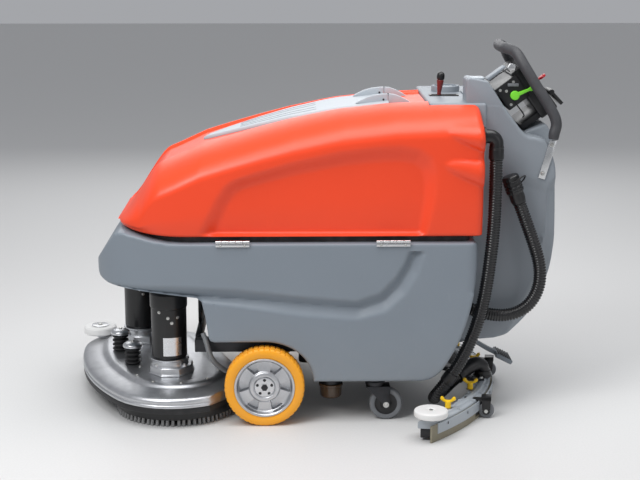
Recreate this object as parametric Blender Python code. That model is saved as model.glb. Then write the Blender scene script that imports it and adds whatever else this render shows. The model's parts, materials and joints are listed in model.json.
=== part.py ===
"""Walk-behind floor scrubber-dryer with two staggered disc brushes and a swinging rear squeegee.

Metres, +Z up, +X towards the operator, +Y towards the machine's right side. Every piece is one
named object in the machine's own frame (centre plane y = 0, drive axle at AXLE_X), and the empty
"machine" moves that frame so that the origin is under the middle of the overall box.
"""

import math

import bmesh
import bpy
from mathutils import Matrix, Vector

# --- driving dimensions -------------------------------------------------------------------
GAP = 0.0003  # between pieces that touch
MACHINE_SHIFT = (-0.0146, 0.0673, 0.0)  # puts the origin under the middle of the overall box

BODY_HALF = 0.345  # half width of the solution tank
BODY_TOP = 0.556
PLINTH_TOP = 0.574  # the recovery tank rests here
BODY_BASE = 0.130
NOSE_X = -0.646
REAR_X = 0.507
SKIRT = 0.015  # wall of the side skirts
PLAN_POWER = 4.0  # roundness of the nose seen from above

TANK_HALF = 0.342
TANK_NOSE_X = -0.575
TANK_REAR_X = 0.519
TANK_VALLEY = 0.010  # the lid's valley lies this far under the two ridges
VALLEY_HALF = 0.148
CREST_HALF = 0.164  # the ridges lie this far from the middle
NOTCH_X = 0.365  # the tank's rear right corner is cut away from here
NOTCH_Y = -0.210
TANK_HINGE_Y = -0.345
TANK_HINGE_Z = 0.563

COLUMN_HALF = 0.200
SHELF_Z = 0.955
POCKET_Z = 0.885  # floor of the lift lever's slot

AXLE_X = -0.130
WHEEL_RADIUS = 0.120
WHEEL_INNER_Y = 0.312
WHEEL_OUTER_Y = 0.370
RIM_RADIUS = 0.091

CASTER_X = 0.205
CASTER_Y = 0.300
CASTER_TRAIL = 0.033
CASTER_RADIUS = 0.050
CASTER_WIDTH = 0.030
CASTER_PLATE_Z = 0.1345  # underside of the frame's rear plate

BRUSH_RADIUS = 0.187
DECK_RADIUS = 0.215
BRUSH_X = {"left": -0.406, "right": -0.530}
BRUSH_Y = {"left": -0.180, "right": 0.180}
DECK_TOP = 0.1175
MOTOR_OFFSET_X = -0.022
MOTOR_RADIUS = 0.0545
MOTOR_POCKET_RADIUS = 0.067  # the tank's underside has a pocket for each motor, for the lifted deck
MOTOR_POCKET_TOP = 0.422
DECK_BULGE = 17.0  # half of the angle that the front edge turns through
WHEEL_CLEARANCE = (37.0, 0.1985)  # the deck is trimmed flat, this way (degrees) and far from the left brush
RAIL_Y = 0.225  # the frame's two rails
BUMPER_PIN = (-0.705, 0.280, 0.0)  # the bumper roller turns here

PIVOT_X = 0.0  # squeegee swing axis
SQUEEGEE_YAW = math.radians(-9.0)  # the squeegee rests swung to the machine's left
SQUEEGEE_LIFT_X = 0.045  # the arm lifts about this line, behind the swing axis
SQUEEGEE_LIFT_Z = 0.108
SQUEEGEE_BOW = 0.77  # curvature of the squeegee seen from above
SQUEEGEE_MID_X = 0.572
SQUEEGEE_HALF = 0.440
SUPPORT_WHEEL_RADIUS = 0.024
SUPPORT_WHEEL_X = 0.587
SUPPORT_WHEEL_Y = 0.210
END_ROLLER_Y = 0.426
WING_KNOBS = [
    ("left_outer", 0.475, -0.330), ("left_inner", 0.535, -0.140),
    ("right_inner", 0.535, 0.140), ("right_outer", 0.475, 0.330),
]

HOSE_RADIUS = 0.020
LID_HINGE_X = 0.2493
LID_HINGE_Z = 0.973
LID_TIP_X = -0.322
RIB_Y = (-0.108, 0.092)  # the low side of each arched rib over the lid's hinge
RIB_WIDTH = 0.016

SIDES = {"left": -1.0, "right": 1.0}

# routes of the two free hoses, in the machine's frame
SUCTION_ROUTE = [
    (0.557, -0.300, 0.7995), (0.557, -0.300, 0.740), (0.557, -0.300, 0.680),
    (0.556, -0.300, 0.620), (0.553, -0.300, 0.560), (0.548, -0.300, 0.505),
    (0.541, -0.300, 0.440), (0.531, -0.300, 0.375), (0.516, -0.300, 0.310),
    (0.494, -0.301, 0.245), (0.463, -0.303, 0.180), (0.425, -0.302, 0.118),
    (0.398, -0.289, 0.075), (0.391, -0.262, 0.052), (0.399, -0.232, 0.047),
    (0.420, -0.203, 0.053), (0.447, -0.173, 0.067), (0.473, -0.146, 0.079),
]
DRAIN_ROUTE = [
    (0.6370, -0.250, 0.6600), (0.650, -0.250, 0.627), (0.664, -0.250, 0.590),
    (0.678, -0.250, 0.553), (0.691, -0.250, 0.516), (0.702, -0.250, 0.478),
    (0.707, -0.250, 0.440), (0.704, -0.250, 0.402), (0.691, -0.250, 0.366),
    (0.668, -0.250, 0.337), (0.636, -0.250, 0.318), (0.600, -0.250, 0.311),
    (0.563, -0.250, 0.313), (0.527, -0.250, 0.321), (0.4965, -0.250, 0.331),
]

MATERIALS = {
    "red_plastic": ((0.90, 0.085, 0.020), 0.32, 0.0),
    "grey_plastic": ((0.20, 0.235, 0.265), 0.45, 0.0),
    "light_grey_plastic": ((0.42, 0.45, 0.48), 0.45, 0.0),
    "black_plastic": ((0.018, 0.018, 0.020), 0.45, 0.0),
    "black_rubber": ((0.015, 0.015, 0.016), 0.70, 0.0),
    "dark_steel": ((0.045, 0.045, 0.050), 0.50, 0.6),
    "cast_aluminium": ((0.62, 0.63, 0.65), 0.35, 0.9),
    "steel": ((0.66, 0.67, 0.68), 0.28, 1.0),
    "orange_tyre": ((0.86, 0.36, 0.012), 0.45, 0.0),
    "grey_tyre": ((0.16, 0.165, 0.175), 0.60, 0.0),
    "white_plastic": ((0.80, 0.80, 0.80), 0.45, 0.0),
    "yellow_plastic": ((0.90, 0.58, 0.020), 0.40, 0.0),
    "tan_rubber": ((0.30, 0.25, 0.17), 0.60, 0.0),
    "bristle": ((0.06, 0.06, 0.065), 0.70, 0.0),
    "brown_clear": ((0.10, 0.055, 0.025), 0.15, 0.0),
    "green_plastic": ((0.22, 0.72, 0.05), 0.40, 0.0),
    "red_key": ((0.45, 0.012, 0.020), 0.35, 0.0),
    "grip": ((0.030, 0.030, 0.034), 0.60, 0.0),
    "battery": ((0.030, 0.032, 0.036), 0.50, 0.0),
}


# --- scene and materials ------------------------------------------------------------------
def clear_scene():
    for obj in list(bpy.data.objects):
        bpy.data.objects.remove(obj, do_unlink=True)


def make_materials():
    made = {}
    for name, (colour, roughness, metallic) in MATERIALS.items():
        mat = bpy.data.materials.new(name)
        mat.use_nodes = True
        shader = mat.node_tree.nodes["Principled BSDF"]
        shader.inputs["Base Color"].default_value = (*colour, 1.0)
        shader.inputs["Roughness"].default_value = roughness
        shader.inputs["Metallic"].default_value = metallic
        made[name] = mat
    return made


def make_empty(name, place, parent=None, turn_z=0.0):
    empty = bpy.data.objects.new(name, None)
    bpy.context.collection.objects.link(empty)
    empty.parent = parent
    empty.location = place
    empty.rotation_euler = (0.0, 0.0, turn_z)
    return empty


# --- shapes -------------------------------------------------------------------------------
PLACES = {
    "X": lambda u, v, w: (w, u, v),
    "Y": lambda u, v, w: (u, w, v),
    "Z": lambda u, v, w: (u, v, w),
}


def skin(bm, rings, cap_ends=True):
    """Bridges rings of vertices in order, and closes the two ends."""
    count = len(rings[0])
    for first, second in zip(rings, rings[1:]):
        for i in range(count):
            j = (i + 1) % count
            bm.faces.new((first[i], first[j], second[j], second[i]))
    if cap_ends:
        bm.faces.new(rings[0])
        bm.faces.new(rings[-1])


def bake(bm, name):
    """Makes a plain object of a bmesh, with its faces pointing out."""
    bmesh.ops.recalc_face_normals(bm, faces=bm.faces)
    mesh = bpy.data.meshes.new(name)
    bm.to_mesh(mesh)
    bm.free()
    obj = bpy.data.objects.new(name, mesh)
    bpy.context.collection.objects.link(obj)
    return obj


def loft(rings, name="loft"):
    """A solid through rings of points, each ring a list of (x, y, z)."""
    bm = bmesh.new()
    skin(bm, [[bm.verts.new(p) for p in ring] for ring in rings])
    return bake(bm, name)


def prism(outline, low, high, axis, name="prism"):
    """A flat outline swept along one axis, from low to high."""
    place = PLACES[axis]
    return loft([[place(u, v, w) for u, v in outline] for w in (low, high)], name)


def block(low, high, name="block"):
    """A box between two corners."""
    (x0, y0, z0), (x1, y1, z1) = low, high
    return prism([(x0, y0), (x1, y0), (x1, y1), (x0, y1)], z0, z1, "Z", name)


def turned(profile, steps=32, closed=False, name="turned"):
    """A profile of (radius, height) turned about Z. It ends on the axis, or is a closed ring."""
    bm = bmesh.new()
    rings = []
    for radius, height in profile:
        if radius < 1e-6:
            rings.append([bm.verts.new((0.0, 0.0, height))])
            continue
        angles = [2 * math.pi * i / steps for i in range(steps)]
        ring = [(radius * math.cos(a), radius * math.sin(a), height) for a in angles]
        rings.append([bm.verts.new(point) for point in ring])
    pairs = list(zip(rings, rings[1:]))
    if closed:
        pairs.append((rings[-1], rings[0]))
    for first, second in pairs:
        for i in range(steps):
            j = (i + 1) % steps
            if len(first) == 1:
                bm.faces.new((first[0], second[i], second[j]))
            elif len(second) == 1:
                bm.faces.new((first[i], second[0], first[j]))
            else:
                bm.faces.new((first[i], second[i], second[j], first[j]))
    return bake(bm, name)


def disc(radius, low, high, steps=32, name="disc"):
    """A plain round block about Z."""
    return turned([(0.0, low), (radius, low), (radius, high), (0.0, high)], steps, name=name)


def arc(centre, radius, start, end, count):
    """Points on an arc, angles in degrees, both ends included."""
    angles = [math.radians(start + (end - start) * i / (count - 1)) for i in range(count)]
    return [(centre[0] + radius * math.cos(a), centre[1] + radius * math.sin(a)) for a in angles]


def through(points, count):
    """Points at even steps of a smooth curve through the given points."""
    points = [Vector(p) for p in points]
    ends = [2 * points[0] - points[1], *points, 2 * points[-1] - points[-2]]
    dense = []
    for i in range(1, len(ends) - 2):
        before, here, after, last = ends[i - 1:i + 3]
        for k in range(12):
            t = k / 12
            square = 2 * before - 5 * here + 4 * after - last
            cube = 3 * here - before - 3 * after + last
            dense.append(0.5 * (2 * here + (after - before) * t + square * t**2 + cube * t**3))
    dense.append(points[-1])
    lengths = [0.0]
    for a, b in zip(dense, dense[1:]):
        lengths.append(lengths[-1] + (b - a).length)
    found, k = [], 0
    for i in range(count):
        want = lengths[-1] * i / (count - 1)
        while k < len(lengths) - 2 and lengths[k + 1] < want:
            k += 1
        share = (want - lengths[k]) / (lengths[k + 1] - lengths[k])
        found.append(dense[k].lerp(dense[k + 1], min(1.0, max(0.0, share))))
    return found


def tube(points, radius, sides=12, name="tube"):
    """A round bar along points, with flat ends."""
    points = [Vector(p) for p in points]
    normal = None
    rings = []
    for i, point in enumerate(points):
        along = (points[min(i + 1, len(points) - 1)] - points[max(i - 1, 0)]).normalized()
        if normal is None:
            normal = along.orthogonal().normalized()
        normal = (normal - normal.dot(along) * along).normalized()
        across = along.cross(normal)
        turn = [2 * math.pi * k / sides for k in range(sides)]
        rings.append([point + radius * (math.cos(a) * normal + math.sin(a) * across) for a in turn])
    return loft(rings, name)


def cord(points, radius, name):
    """A free hose: a poly curve with a round bevel and filled caps."""
    curve = bpy.data.curves.new(name, "CURVE")
    curve.dimensions = "3D"
    curve.bevel_depth = radius
    curve.bevel_resolution = 2
    curve.use_fill_caps = True
    spline = curve.splines.new("POLY")
    spline.points.add(len(points) - 1)
    for point, place in zip(spline.points, points):
        point.co = (*place, 1.0)
    obj = bpy.data.objects.new(name, curve)
    bpy.context.collection.objects.link(obj)
    return obj


def moved(obj, place=(0.0, 0.0, 0.0), axis="Z", turn_z=0.0):
    """Moves a shape made about Z: first its axis is laid along the given one, then it is placed."""
    lay = {
        "X": Matrix.Rotation(math.pi / 2, 4, "Y"),
        "Y": Matrix.Rotation(-math.pi / 2, 4, "X"),
        "Z": Matrix(),
    }
    obj.data.transform(Matrix.Translation(place) @ Matrix.Rotation(turn_z, 4, "Z") @ lay[axis])
    return obj


def along(obj, start, end):
    """Lays a shape made about Z from start towards end."""
    start, end = Vector(start), Vector(end)
    turn = (end - start).to_track_quat("Z", "Y").to_matrix().to_4x4()
    obj.data.transform(Matrix.Translation(start) @ turn)
    return obj


def combined(target, tool, operation):
    """The target joined with the tool, or cut by it. The tool is used up."""
    modifier = target.modifiers.new("combine", "BOOLEAN")
    modifier.operation = operation
    modifier.object = tool
    modifier.solver = "EXACT"
    graph = bpy.context.evaluated_depsgraph_get()
    mesh = bpy.data.meshes.new_from_object(target.evaluated_get(graph))
    target.modifiers.clear()
    target.data = mesh
    bpy.data.objects.remove(tool, do_unlink=True)
    return target


def joined(target, *tools):
    for tool in tools:
        combined(target, tool, "UNION")
    return target


def cut(target, *tools):
    for tool in tools:
        combined(target, tool, "DIFFERENCE")
    return target


def piece(obj, name, material, parent, origin=(0.0, 0.0, 0.0)):
    """Names a finished shape, moves its origin to a point of the machine's frame, and parents it."""
    obj.name = name
    obj.data.name = name
    obj.data.materials.clear()
    obj.data.materials.append(MADE[material])
    if obj.type == "MESH":
        obj.data.transform(Matrix.Translation(-Vector(origin)))
        obj.data.shade_smooth()
        obj.data.set_sharp_from_angle(angle=math.radians(35))
    obj.parent = parent
    obj.location = origin
    return obj


# --- outlines that several pieces share ---------------------------------------------------
def nose_half(x, nose_x, half):
    """Half width of a body whose nose is rounded seen from above."""
    start = -0.300
    if x >= start:
        return half
    share = min(1.0, (start - x) / (start - nose_x))
    return half * (1.0 - share**PLAN_POWER) ** (1.0 / PLAN_POWER)


def plan_outline(nose_x, rear_x, half, corner, steps=7):
    """The outline seen from above, with a rounded nose and small rear corners."""
    shares = [1.0, 0.985, 0.93, 0.83, 0.68, 0.48, 0.25]
    xs = [-0.300 + share * (nose_x + 0.300) for share in shares] + [-0.300]
    near = [(x, -nose_half(x, nose_x, half)) for x in xs]
    near[0] = (nose_x, -0.30 * half)
    near += arc((rear_x - corner, -half + corner), corner, -90, 0, steps)
    return near + [(x, -y) for x, y in reversed(near)]


def ridge_height(x):
    """Height of the recovery tank's two ridges."""
    table = [
        (-0.575, 0.606), (-0.552, 0.626), (-0.508, 0.690), (-0.462, 0.756), (-0.440, 0.775),
        (-0.400, 0.792), (-0.320, 0.829), (-0.250, 0.850), (-0.150, 0.879), (-0.050, 0.905),
        (0.099, 0.935), (0.250, 0.951), (0.400, 0.957), (0.480, 0.955), (0.505, 0.945), (0.519, 0.905),
    ]
    for (x0, z0), (x1, z1) in zip(table, table[1:]):
        if x <= x1:
            return z0 + (z1 - z0) * (x - x0) / (x1 - x0)
    return table[-1][1]


def seam_height(x):
    """The recovery tank's underside, which climbs over the nose."""
    climb = max(0.0, -0.360 - x) / 0.215
    return PLINTH_TOP + 0.026 * climb**2


TANK_STATIONS = [
    TANK_NOSE_X, -0.568, -0.552, -0.530, -0.508, -0.462, -0.440, -0.400, -0.360, -0.320, -0.250,
    -0.150, -0.050, 0.099, 0.250, 0.365, 0.440, 0.480, 0.505, TANK_REAR_X,
]


def tank_half(x):
    """Half width of the recovery tank."""
    half = max(nose_half(x, TANK_NOSE_X, TANK_HALF), 0.52 * TANK_HALF)
    tuck = max(0.0, x - 0.480) / 0.039
    return half - 0.016 * tuck**2


def tank_ring(x):
    """Cross-section of the recovery tank at x: upright sides, round shoulders, a flat valley on top."""
    half, base, top = tank_half(x), seam_height(x) + GAP, ridge_height(x)
    rise = top - base
    valley = top - min(TANK_VALLEY, 0.2 * rise)
    shoulder = min(0.090, 0.75 * rise)
    crest = min(CREST_HALF, 0.75 * half)
    right = [(half - 0.010, base), (half, base + 0.12 * rise)]
    for k in range(6):
        angle = math.radians(90 * k / 5)
        across = crest + (half - crest) * math.cos(angle) ** 1.4
        right.append((across, top - shoulder + shoulder * math.sin(angle)))
    right.append((min(VALLEY_HALF, crest - 0.012), valley))
    return [(x, y, z) for y, z in right] + [(x, -y, z) for y, z in reversed(right)]


def tank_valley(x):
    """Height of the valley that the lid lies in."""
    rise = ridge_height(x) - seam_height(x) - GAP
    return ridge_height(x) - min(TANK_VALLEY, 0.2 * rise)


def body_side():
    """Side outline of the solution tank, without its battery well."""
    nose = [(-0.360, BODY_TOP), (-0.460, 0.566), (-0.545, 0.586), (-0.574, 0.578), (-0.603, 0.537),
            (-0.630, 0.497), (-0.643, 0.475), (NOSE_X, 0.462), (-0.643, 0.449), (-0.630, 0.436),
            (-0.600, 0.426), (-0.538, 0.417), (-0.315, 0.389), (-0.305, 0.330), (-0.296, 0.267),
            (-0.290, 0.254)]
    arch = [(AXLE_X + 0.147 * math.cos(a), BODY_BASE + 0.124 * math.sin(a))
            for a in (math.radians(90 - 11.25 * k) for k in range(9))]
    rear = [(0.340, BODY_BASE), (0.364, 0.134), (0.387, 0.146), (0.407, 0.166), (0.430, 0.203),
            (0.452, 0.245), (0.476, 0.310), (0.496, 0.395), (REAR_X - 0.001, 0.470), (REAR_X, 0.520),
            (0.505, 0.548), (0.498, BODY_TOP)]
    return nose + arch + rear


def bowed_strip(front, back, low, high, half, name, steps=17):
    """A bar that follows the squeegee's bow: front and back are distances behind its middle line."""
    ys = [-half + 2 * half * i / (steps - 1) for i in range(steps)]
    line = [SQUEEGEE_MID_X - SQUEEGEE_BOW * y * y for y in ys]
    ahead = [(x + front, y) for x, y in zip(line, ys)]
    behind = [(x + back, y) for x, y in zip(line, ys)]
    outline = ahead + behind[::-1]
    return prism(outline, low, high, "Z", name)


# --- chassis ------------------------------------------------------------------------------
def solution_tank(machine):
    wide = BODY_HALF + 0.05
    body = prism(body_side(), -wide, wide, "Y")
    plan = prism(plan_outline(NOSE_X, REAR_X, BODY_HALF, 0.030), 0.0, 0.7, "Z")
    combined(body, plan, "INTERSECT")
    plinth = prism(plan_outline(-0.515, 0.485, BODY_HALF - 0.032, 0.030), 0.500, PLINTH_TOP, "Z")
    joined(body, plinth)
    well = block((-0.300, -0.190, 0.282), (0.290, 0.190, 0.700))
    under = block((-0.105, -BODY_HALF + SKIRT, 0.05), (0.330, BODY_HALF - SKIRT, 0.2555))
    cut(body, well, under)
    for side in SIDES:
        centre = (BRUSH_X[side] + MOTOR_OFFSET_X, BRUSH_Y[side], 0.0)
        cut(body, moved(disc(MOTOR_POCKET_RADIUS, 0.30, MOTOR_POCKET_TOP, 28), centre))
    return piece(body, "solution_tank", "grey_plastic", machine)


POST_SIDE = [(0.477, 0.900), (0.477, 1.024), (0.486, 1.031), (0.542, 1.020), (0.586, 0.952), (0.600, 0.900)]


def control_column(machine):
    front_x = TANK_REAR_X + 0.004
    step_z = PLINTH_TOP - 0.010
    main = [
        (0.4300, 0.2185), (0.534, 0.2180), (0.580, 0.222), (0.621, 0.236), (0.668, 0.274), (0.705, 0.325),
        (0.744, 0.422), (0.758, 0.500), (0.761, 0.575), (0.755, 0.742), (0.745, 0.790), (0.724, 0.840),
        (0.700, 0.848), (0.665, 0.856), (0.642, 0.877), (0.586, 0.952), (0.575, SHELF_Z),
        (front_x, SHELF_Z), (front_x, step_z), (0.4300, step_z),
    ]
    column = prism(main, -COLUMN_HALF, COLUMN_HALF, "Y")
    trim = moved(prism(body_side(), -0.5, 0.5, "Y"), (0.0006, 0.0, 0.0))
    rest = block((0.3, -0.5, 0.5), (REAR_X + 0.0006, 0.5, PLINTH_TOP + GAP))
    cut(column, trim, rest)
    pedestal = block((NOTCH_X + 0.003, NOTCH_Y + 0.003, PLINTH_TOP + GAP), (0.5400, 0.300, SHELF_Z))
    hump_side = [(0.650, 0.800), (0.665, 0.856), (0.734, 0.882), (0.762, 0.838), (0.757, 0.742)]
    hump = prism(hump_side, -0.120, 0.120, "Y")
    post = prism(POST_SIDE, -COLUMN_HALF, -0.105, "Y")
    neck = moved(disc(0.045, 0.94, 0.975), (0.4495, 0.130, 0.0))
    joined(column, pedestal, hump, post, neck)
    mouth = moved(disc(0.038, 0.925, 1.0), (0.4495, 0.130, 0.0))
    slot = block((0.392, -0.011, POCKET_Z), (0.470, 0.011, 1.0))
    motor_bay = block((0.30, -0.120, 0.600), (0.670, 0.120, 0.800))
    cut(column, mouth, slot, motor_bay)
    return piece(column, "control_column", "grey_plastic", machine)


def vacuum_motor(machine):
    can = turned([(0.0, 0.0), (0.060, 0.0), (0.068, 0.006), (0.068, 0.090), (0.052, 0.096), (0.052, 0.150),
                  (0.020, 0.150), (0.020, 0.165), (0.0, 0.165)], 28)
    return piece(moved(can, (0.590, 0.0, 0.6003)), "vacuum_motor", "dark_steel", machine)


def batteries(machine):
    for name, start in (("battery_front", -0.292), ("battery_rear", -0.002)):
        case = block((start, -0.180, 0.2823), (start + 0.284, 0.180, 0.500))
        lid = block((start + 0.004, -0.176, 0.495), (start + 0.280, 0.176, 0.515))
        posts = [moved(disc(0.010, 0.51, 0.535, 12), (start + 0.030, y, 0.0)) for y in (-0.140, 0.140)]
        piece(joined(case, lid, *posts), name, "battery", machine)


def chassis_frame(machine):
    rails = []
    uprights = []
    for sign in SIDES.values():
        inner, outer = sorted((sign * (RAIL_Y - 0.020), sign * (RAIL_Y + 0.020)))
        rails.append(block((-0.345, inner, 0.196), (0.300, outer, 0.236)))
        uprights.append(block((0.165, inner, 0.140), (0.280, outer, 0.200)))
    front = block((-0.345, -0.240, 0.190), (-0.330, 0.240, 0.240))
    hanger = block((-0.345, -0.060, 0.190), (-0.335, 0.060, 0.380))
    middle = block((0.010, -0.235, 0.196), (0.050, 0.235, 0.230))
    plate = block((0.145, -0.325, CASTER_PLATE_Z), (0.300, 0.325, 0.1440))
    pads = []
    for sign in SIDES.values():
        low = (CASTER_X - 0.048, sign * CASTER_Y - 0.0285, CASTER_PLATE_Z - 0.006)
        pads.append(block(low, (CASTER_X + 0.048, sign * CASTER_Y + 0.0285, 0.138)))
    pivot = moved(disc(0.030, 0.1303, 0.2000, 20), (PIVOT_X, 0.0, 0.0))
    filter_arm = block((0.043, -0.225, 0.145), (0.103, -0.185, 0.205))
    filter_head = moved(disc(0.034, 0.0853, 0.150, 24), (0.073, -0.205, 0.0))
    tools = (front, hanger, middle, *uprights, plate, *pads, pivot, filter_arm, filter_head)
    frame = joined(*rails, *tools)
    return piece(frame, "chassis_frame", "dark_steel", machine)


def filter_bowl(machine):
    profile = [(0.0, 0.040), (0.028, 0.040), (0.033, 0.046), (0.035, 0.076), (0.038, 0.078), (0.038, 0.085),
               (0.0, 0.085)]
    bowl = turned(profile, 24)
    return piece(moved(bowl, (0.073, -0.205, 0.0)), "filter_bowl", "brown_clear", machine)


def transaxle(machine):
    end = WHEEL_INNER_Y - GAP
    axle_side = [(0.0, -end), (0.040, -end), (0.040, -0.300), (0.026, -0.296), (0.026, 0.296),
                 (0.040, 0.300), (0.040, end), (0.0, end)]
    axle = moved(turned(axle_side, 24), (AXLE_X, 0.0, WHEEL_RADIUS), "Y")
    gear_case = moved(disc(0.062, -0.040, 0.050, 22), (AXLE_X, 0.0, WHEEL_RADIUS), "Y")
    motor = moved(disc(0.048, 0.043, 0.190, 20), (AXLE_X + 0.004, 0.0, WHEEL_RADIUS + 0.013), "Y")
    hangers = []
    for sign in SIDES.values():
        low = (AXLE_X - 0.019, sign * RAIL_Y - 0.016, WHEEL_RADIUS + 0.006)
        high = (AXLE_X + 0.019, sign * RAIL_Y + 0.016, 0.196 - GAP)
        hangers.append(block(low, high))
    return piece(joined(axle, gear_case, motor, *hangers), "transaxle", "dark_steel", machine)


def tank_hinges(machine):
    for name, middle in (("tank_hinge_front", -0.221), ("tank_hinge_rear", 0.253)):
        leaf = block((middle - 0.050, -0.3512, 0.5485), (middle + 0.050, -0.3453, 0.5600))
        knuckle = moved(disc(0.0045, -0.050, 0.050, 14), (middle, TANK_HINGE_Y - 0.0045, TANK_HINGE_Z), "X")
        piece(joined(leaf, knuckle), name, "steel", machine)


# --- handle and controls ------------------------------------------------------------------
def handle(machine):
    arm = [(0.742, 0.2050, 0.8450), (0.744, 0.2045, 0.862), (0.750, 0.202, 0.888), (0.744, 0.198, 0.914),
           (0.726, 0.190, 0.946), (0.690, 0.176, 1.003), (0.656, 0.158, 1.060), (0.634, 0.130, 1.097),
           (0.614, 0.088, 1.1075), (0.606, 0.040, 1.1085)]
    route = [(x, -y, z) for x, y, z in arm] + list(reversed(arm))
    piece(tube(through(route, 36), 0.0165, 12), "handle_loop", "grip", machine)
    for side, sign in SIDES.items():
        outline = [(0.700, 0.728), (0.720, 0.722), (0.752, 0.833), (0.752, 0.8420), (0.731, 0.8420)]
        strap = prism(outline, *sorted((sign * (COLUMN_HALF + GAP), sign * (COLUMN_HALF + 0.0055))), "Y")
        piece(strap, f"handle_bracket_{side}", "steel", machine)


SLOPE = math.radians(-53.5)  # the console lies along this slope, seen from the side
PANEL_DEPTH = 1.172  # the console's outer face


def console_point(depth, down):
    """A point of the console: depth towards the operator, down along its slope."""
    along_slope = (math.cos(SLOPE), math.sin(SLOPE))
    outward = (-math.sin(SLOPE), math.cos(SLOPE))
    return (depth * outward[0] + down * along_slope[0], depth * outward[1] + down * along_slope[1])


def console_block(depths, downs, low, high):
    (d0, d1), (s0, s1) = depths, downs
    corners = [console_point(d, s) for d, s in ((d0, s0), (d1, s0), (d1, s1), (d0, s1))]
    return prism(corners, low, high, "Y")


def console(machine):
    deep = console_block((1.045, 1.125), (-0.4536, -0.375), -0.140, 0.120)
    panel = console_block((1.112, PANEL_DEPTH), (-0.462, -0.292), -0.125, 0.125)
    stay = console_block((1.046, 1.130), (-0.3130, -0.2930), -0.100, 0.100)
    strut_side = [(0.548, 1.022), (0.600, 1.060), (0.640, 1.060), (0.640, 1.045), (0.606, 1.048),
                  (0.556, 1.010)]
    strut = prism(strut_side, -0.135, -0.120, "Y")
    trim = moved(prism(POST_SIDE, -0.3, 0.3, "Y"), (0.0006, 0.0, 0.0004))
    ledge_side = [(0.600, 0.70), (0.600, 0.934), (0.642, 0.8775), (0.665, 0.8565), (0.734, 0.8825),
                  (0.762, 0.8385), (0.762, 0.70)]
    ledge = prism(ledge_side, -0.3, 0.3, "Y")
    housing = joined(panel, deep, stay, strut)
    cut(housing, trim, ledge)
    piece(housing, "console_housing", "black_plastic", machine)


def bar_between(start, end, half, low, high):
    """A flat bar in the side plane from start to end, each an (x, z), between two depths along Y."""
    start, end = Vector(start), Vector(end)
    line = (end - start).normalized()
    across = Vector((-line.y, line.x)) * half
    return prism([start + across, start - across, end - across, end + across], low, high, "Y")


def controls(machine):
    hub = console_point(1.085, -0.405)
    pivot = (hub[0], -0.1403, hub[1])
    lever = moved(disc(0.014, -0.012, 0.0, 18), pivot, "Y")
    arm = bar_between(hub, console_point(1.138, -0.392), 0.005, -0.1510, -0.1440)
    piece(joined(lever, arm), "valve_lever", "green_plastic", machine, pivot)

    outward = Vector((-math.sin(SLOPE), 0.0, math.cos(SLOPE)))
    base_x, base_z = console_point(PANEL_DEPTH + GAP, -0.385)
    base = Vector((base_x, -0.050, base_z))
    shaft = disc(0.004, 0.0, 0.014, 12)
    bow_side = [(-0.011, 0.010), (0.011, 0.010), (0.013, 0.022), (0.007, 0.031), (-0.007, 0.031),
                (-0.013, 0.022)]
    bow = prism(bow_side, -0.0035, 0.0035, "Y")
    piece(along(joined(shaft, bow), base, base + outward), "key", "red_key", machine, base)

    axis = console_point(PANEL_DEPTH + 0.012, -0.338)
    hinge = (axis[0], -0.060, axis[1])
    barrel = moved(disc(0.0085, -0.045, 0.045, 14), hinge, "Y")
    blade = bar_between(axis, console_point(PANEL_DEPTH + 0.018, -0.288), 0.0055, -0.100, -0.020)
    piece(joined(barrel, blade), "speed_paddle", "black_plastic", machine, hinge)


def lift_lever(machine):
    pivot = Vector((0.411, 0.0, 0.900))
    profile = [(0.0, 0.0), (0.0075, 0.0), (0.0075, 0.055), (0.0085, 0.085), (0.0075, 0.096), (0.0135, 0.104),
               (0.0155, 0.114), (0.0130, 0.126), (0.0060, 0.132), (0.0, 0.132)]
    rod = turned(profile, 16)
    hub = moved(disc(0.010, -0.009, 0.009, 16), (0.0, 0.0, 0.0), "Y")
    obj = joined(rod, hub)
    along(obj, pivot, pivot + Vector((0.010, 0.0, 0.120)))
    piece(obj, "lift_lever", "black_plastic", machine, pivot)


def filler_cap(machine):
    profile = [(0.0, 0.9253), (0.0360, 0.9253), (0.0370, 0.930), (0.0370, 0.9580), (0.0330, 0.9620),
               (0.0, 0.9620)]
    cap = turned(profile, 28)
    grip = block((-0.026, -0.006, 0.955), (0.026, 0.006, 0.972))
    centre = (0.4495, 0.130, 0.0)
    piece(moved(joined(cap, grip), centre), "filler_cap", "light_grey_plastic", machine, centre)


def foot_pedal(machine):
    pivot = Vector((0.500, 0.0, 0.170))
    stalk = through([(0.500, 0.0, 0.170), (0.545, 0.0, 0.156), (0.590, 0.0, 0.130), (0.640, 0.0, 0.106)], 8)
    bar = [(p.x, p.z) for p in stalk]
    outline = [(x, z + 0.007) for x, z in bar] + [(x, z - 0.007) for x, z in reversed(bar)]
    lever = prism(outline, -0.011, 0.011, "Y")
    pad = prism([(0.616, 0.126), (0.668, 0.100), (0.661, 0.087), (0.609, 0.113)], -0.045, 0.045, "Y")
    hub = moved(disc(0.014, -0.016, 0.016, 18), pivot, "Y")
    piece(joined(lever, pad, hub), "foot_pedal", "grey_plastic", machine, pivot)


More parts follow.
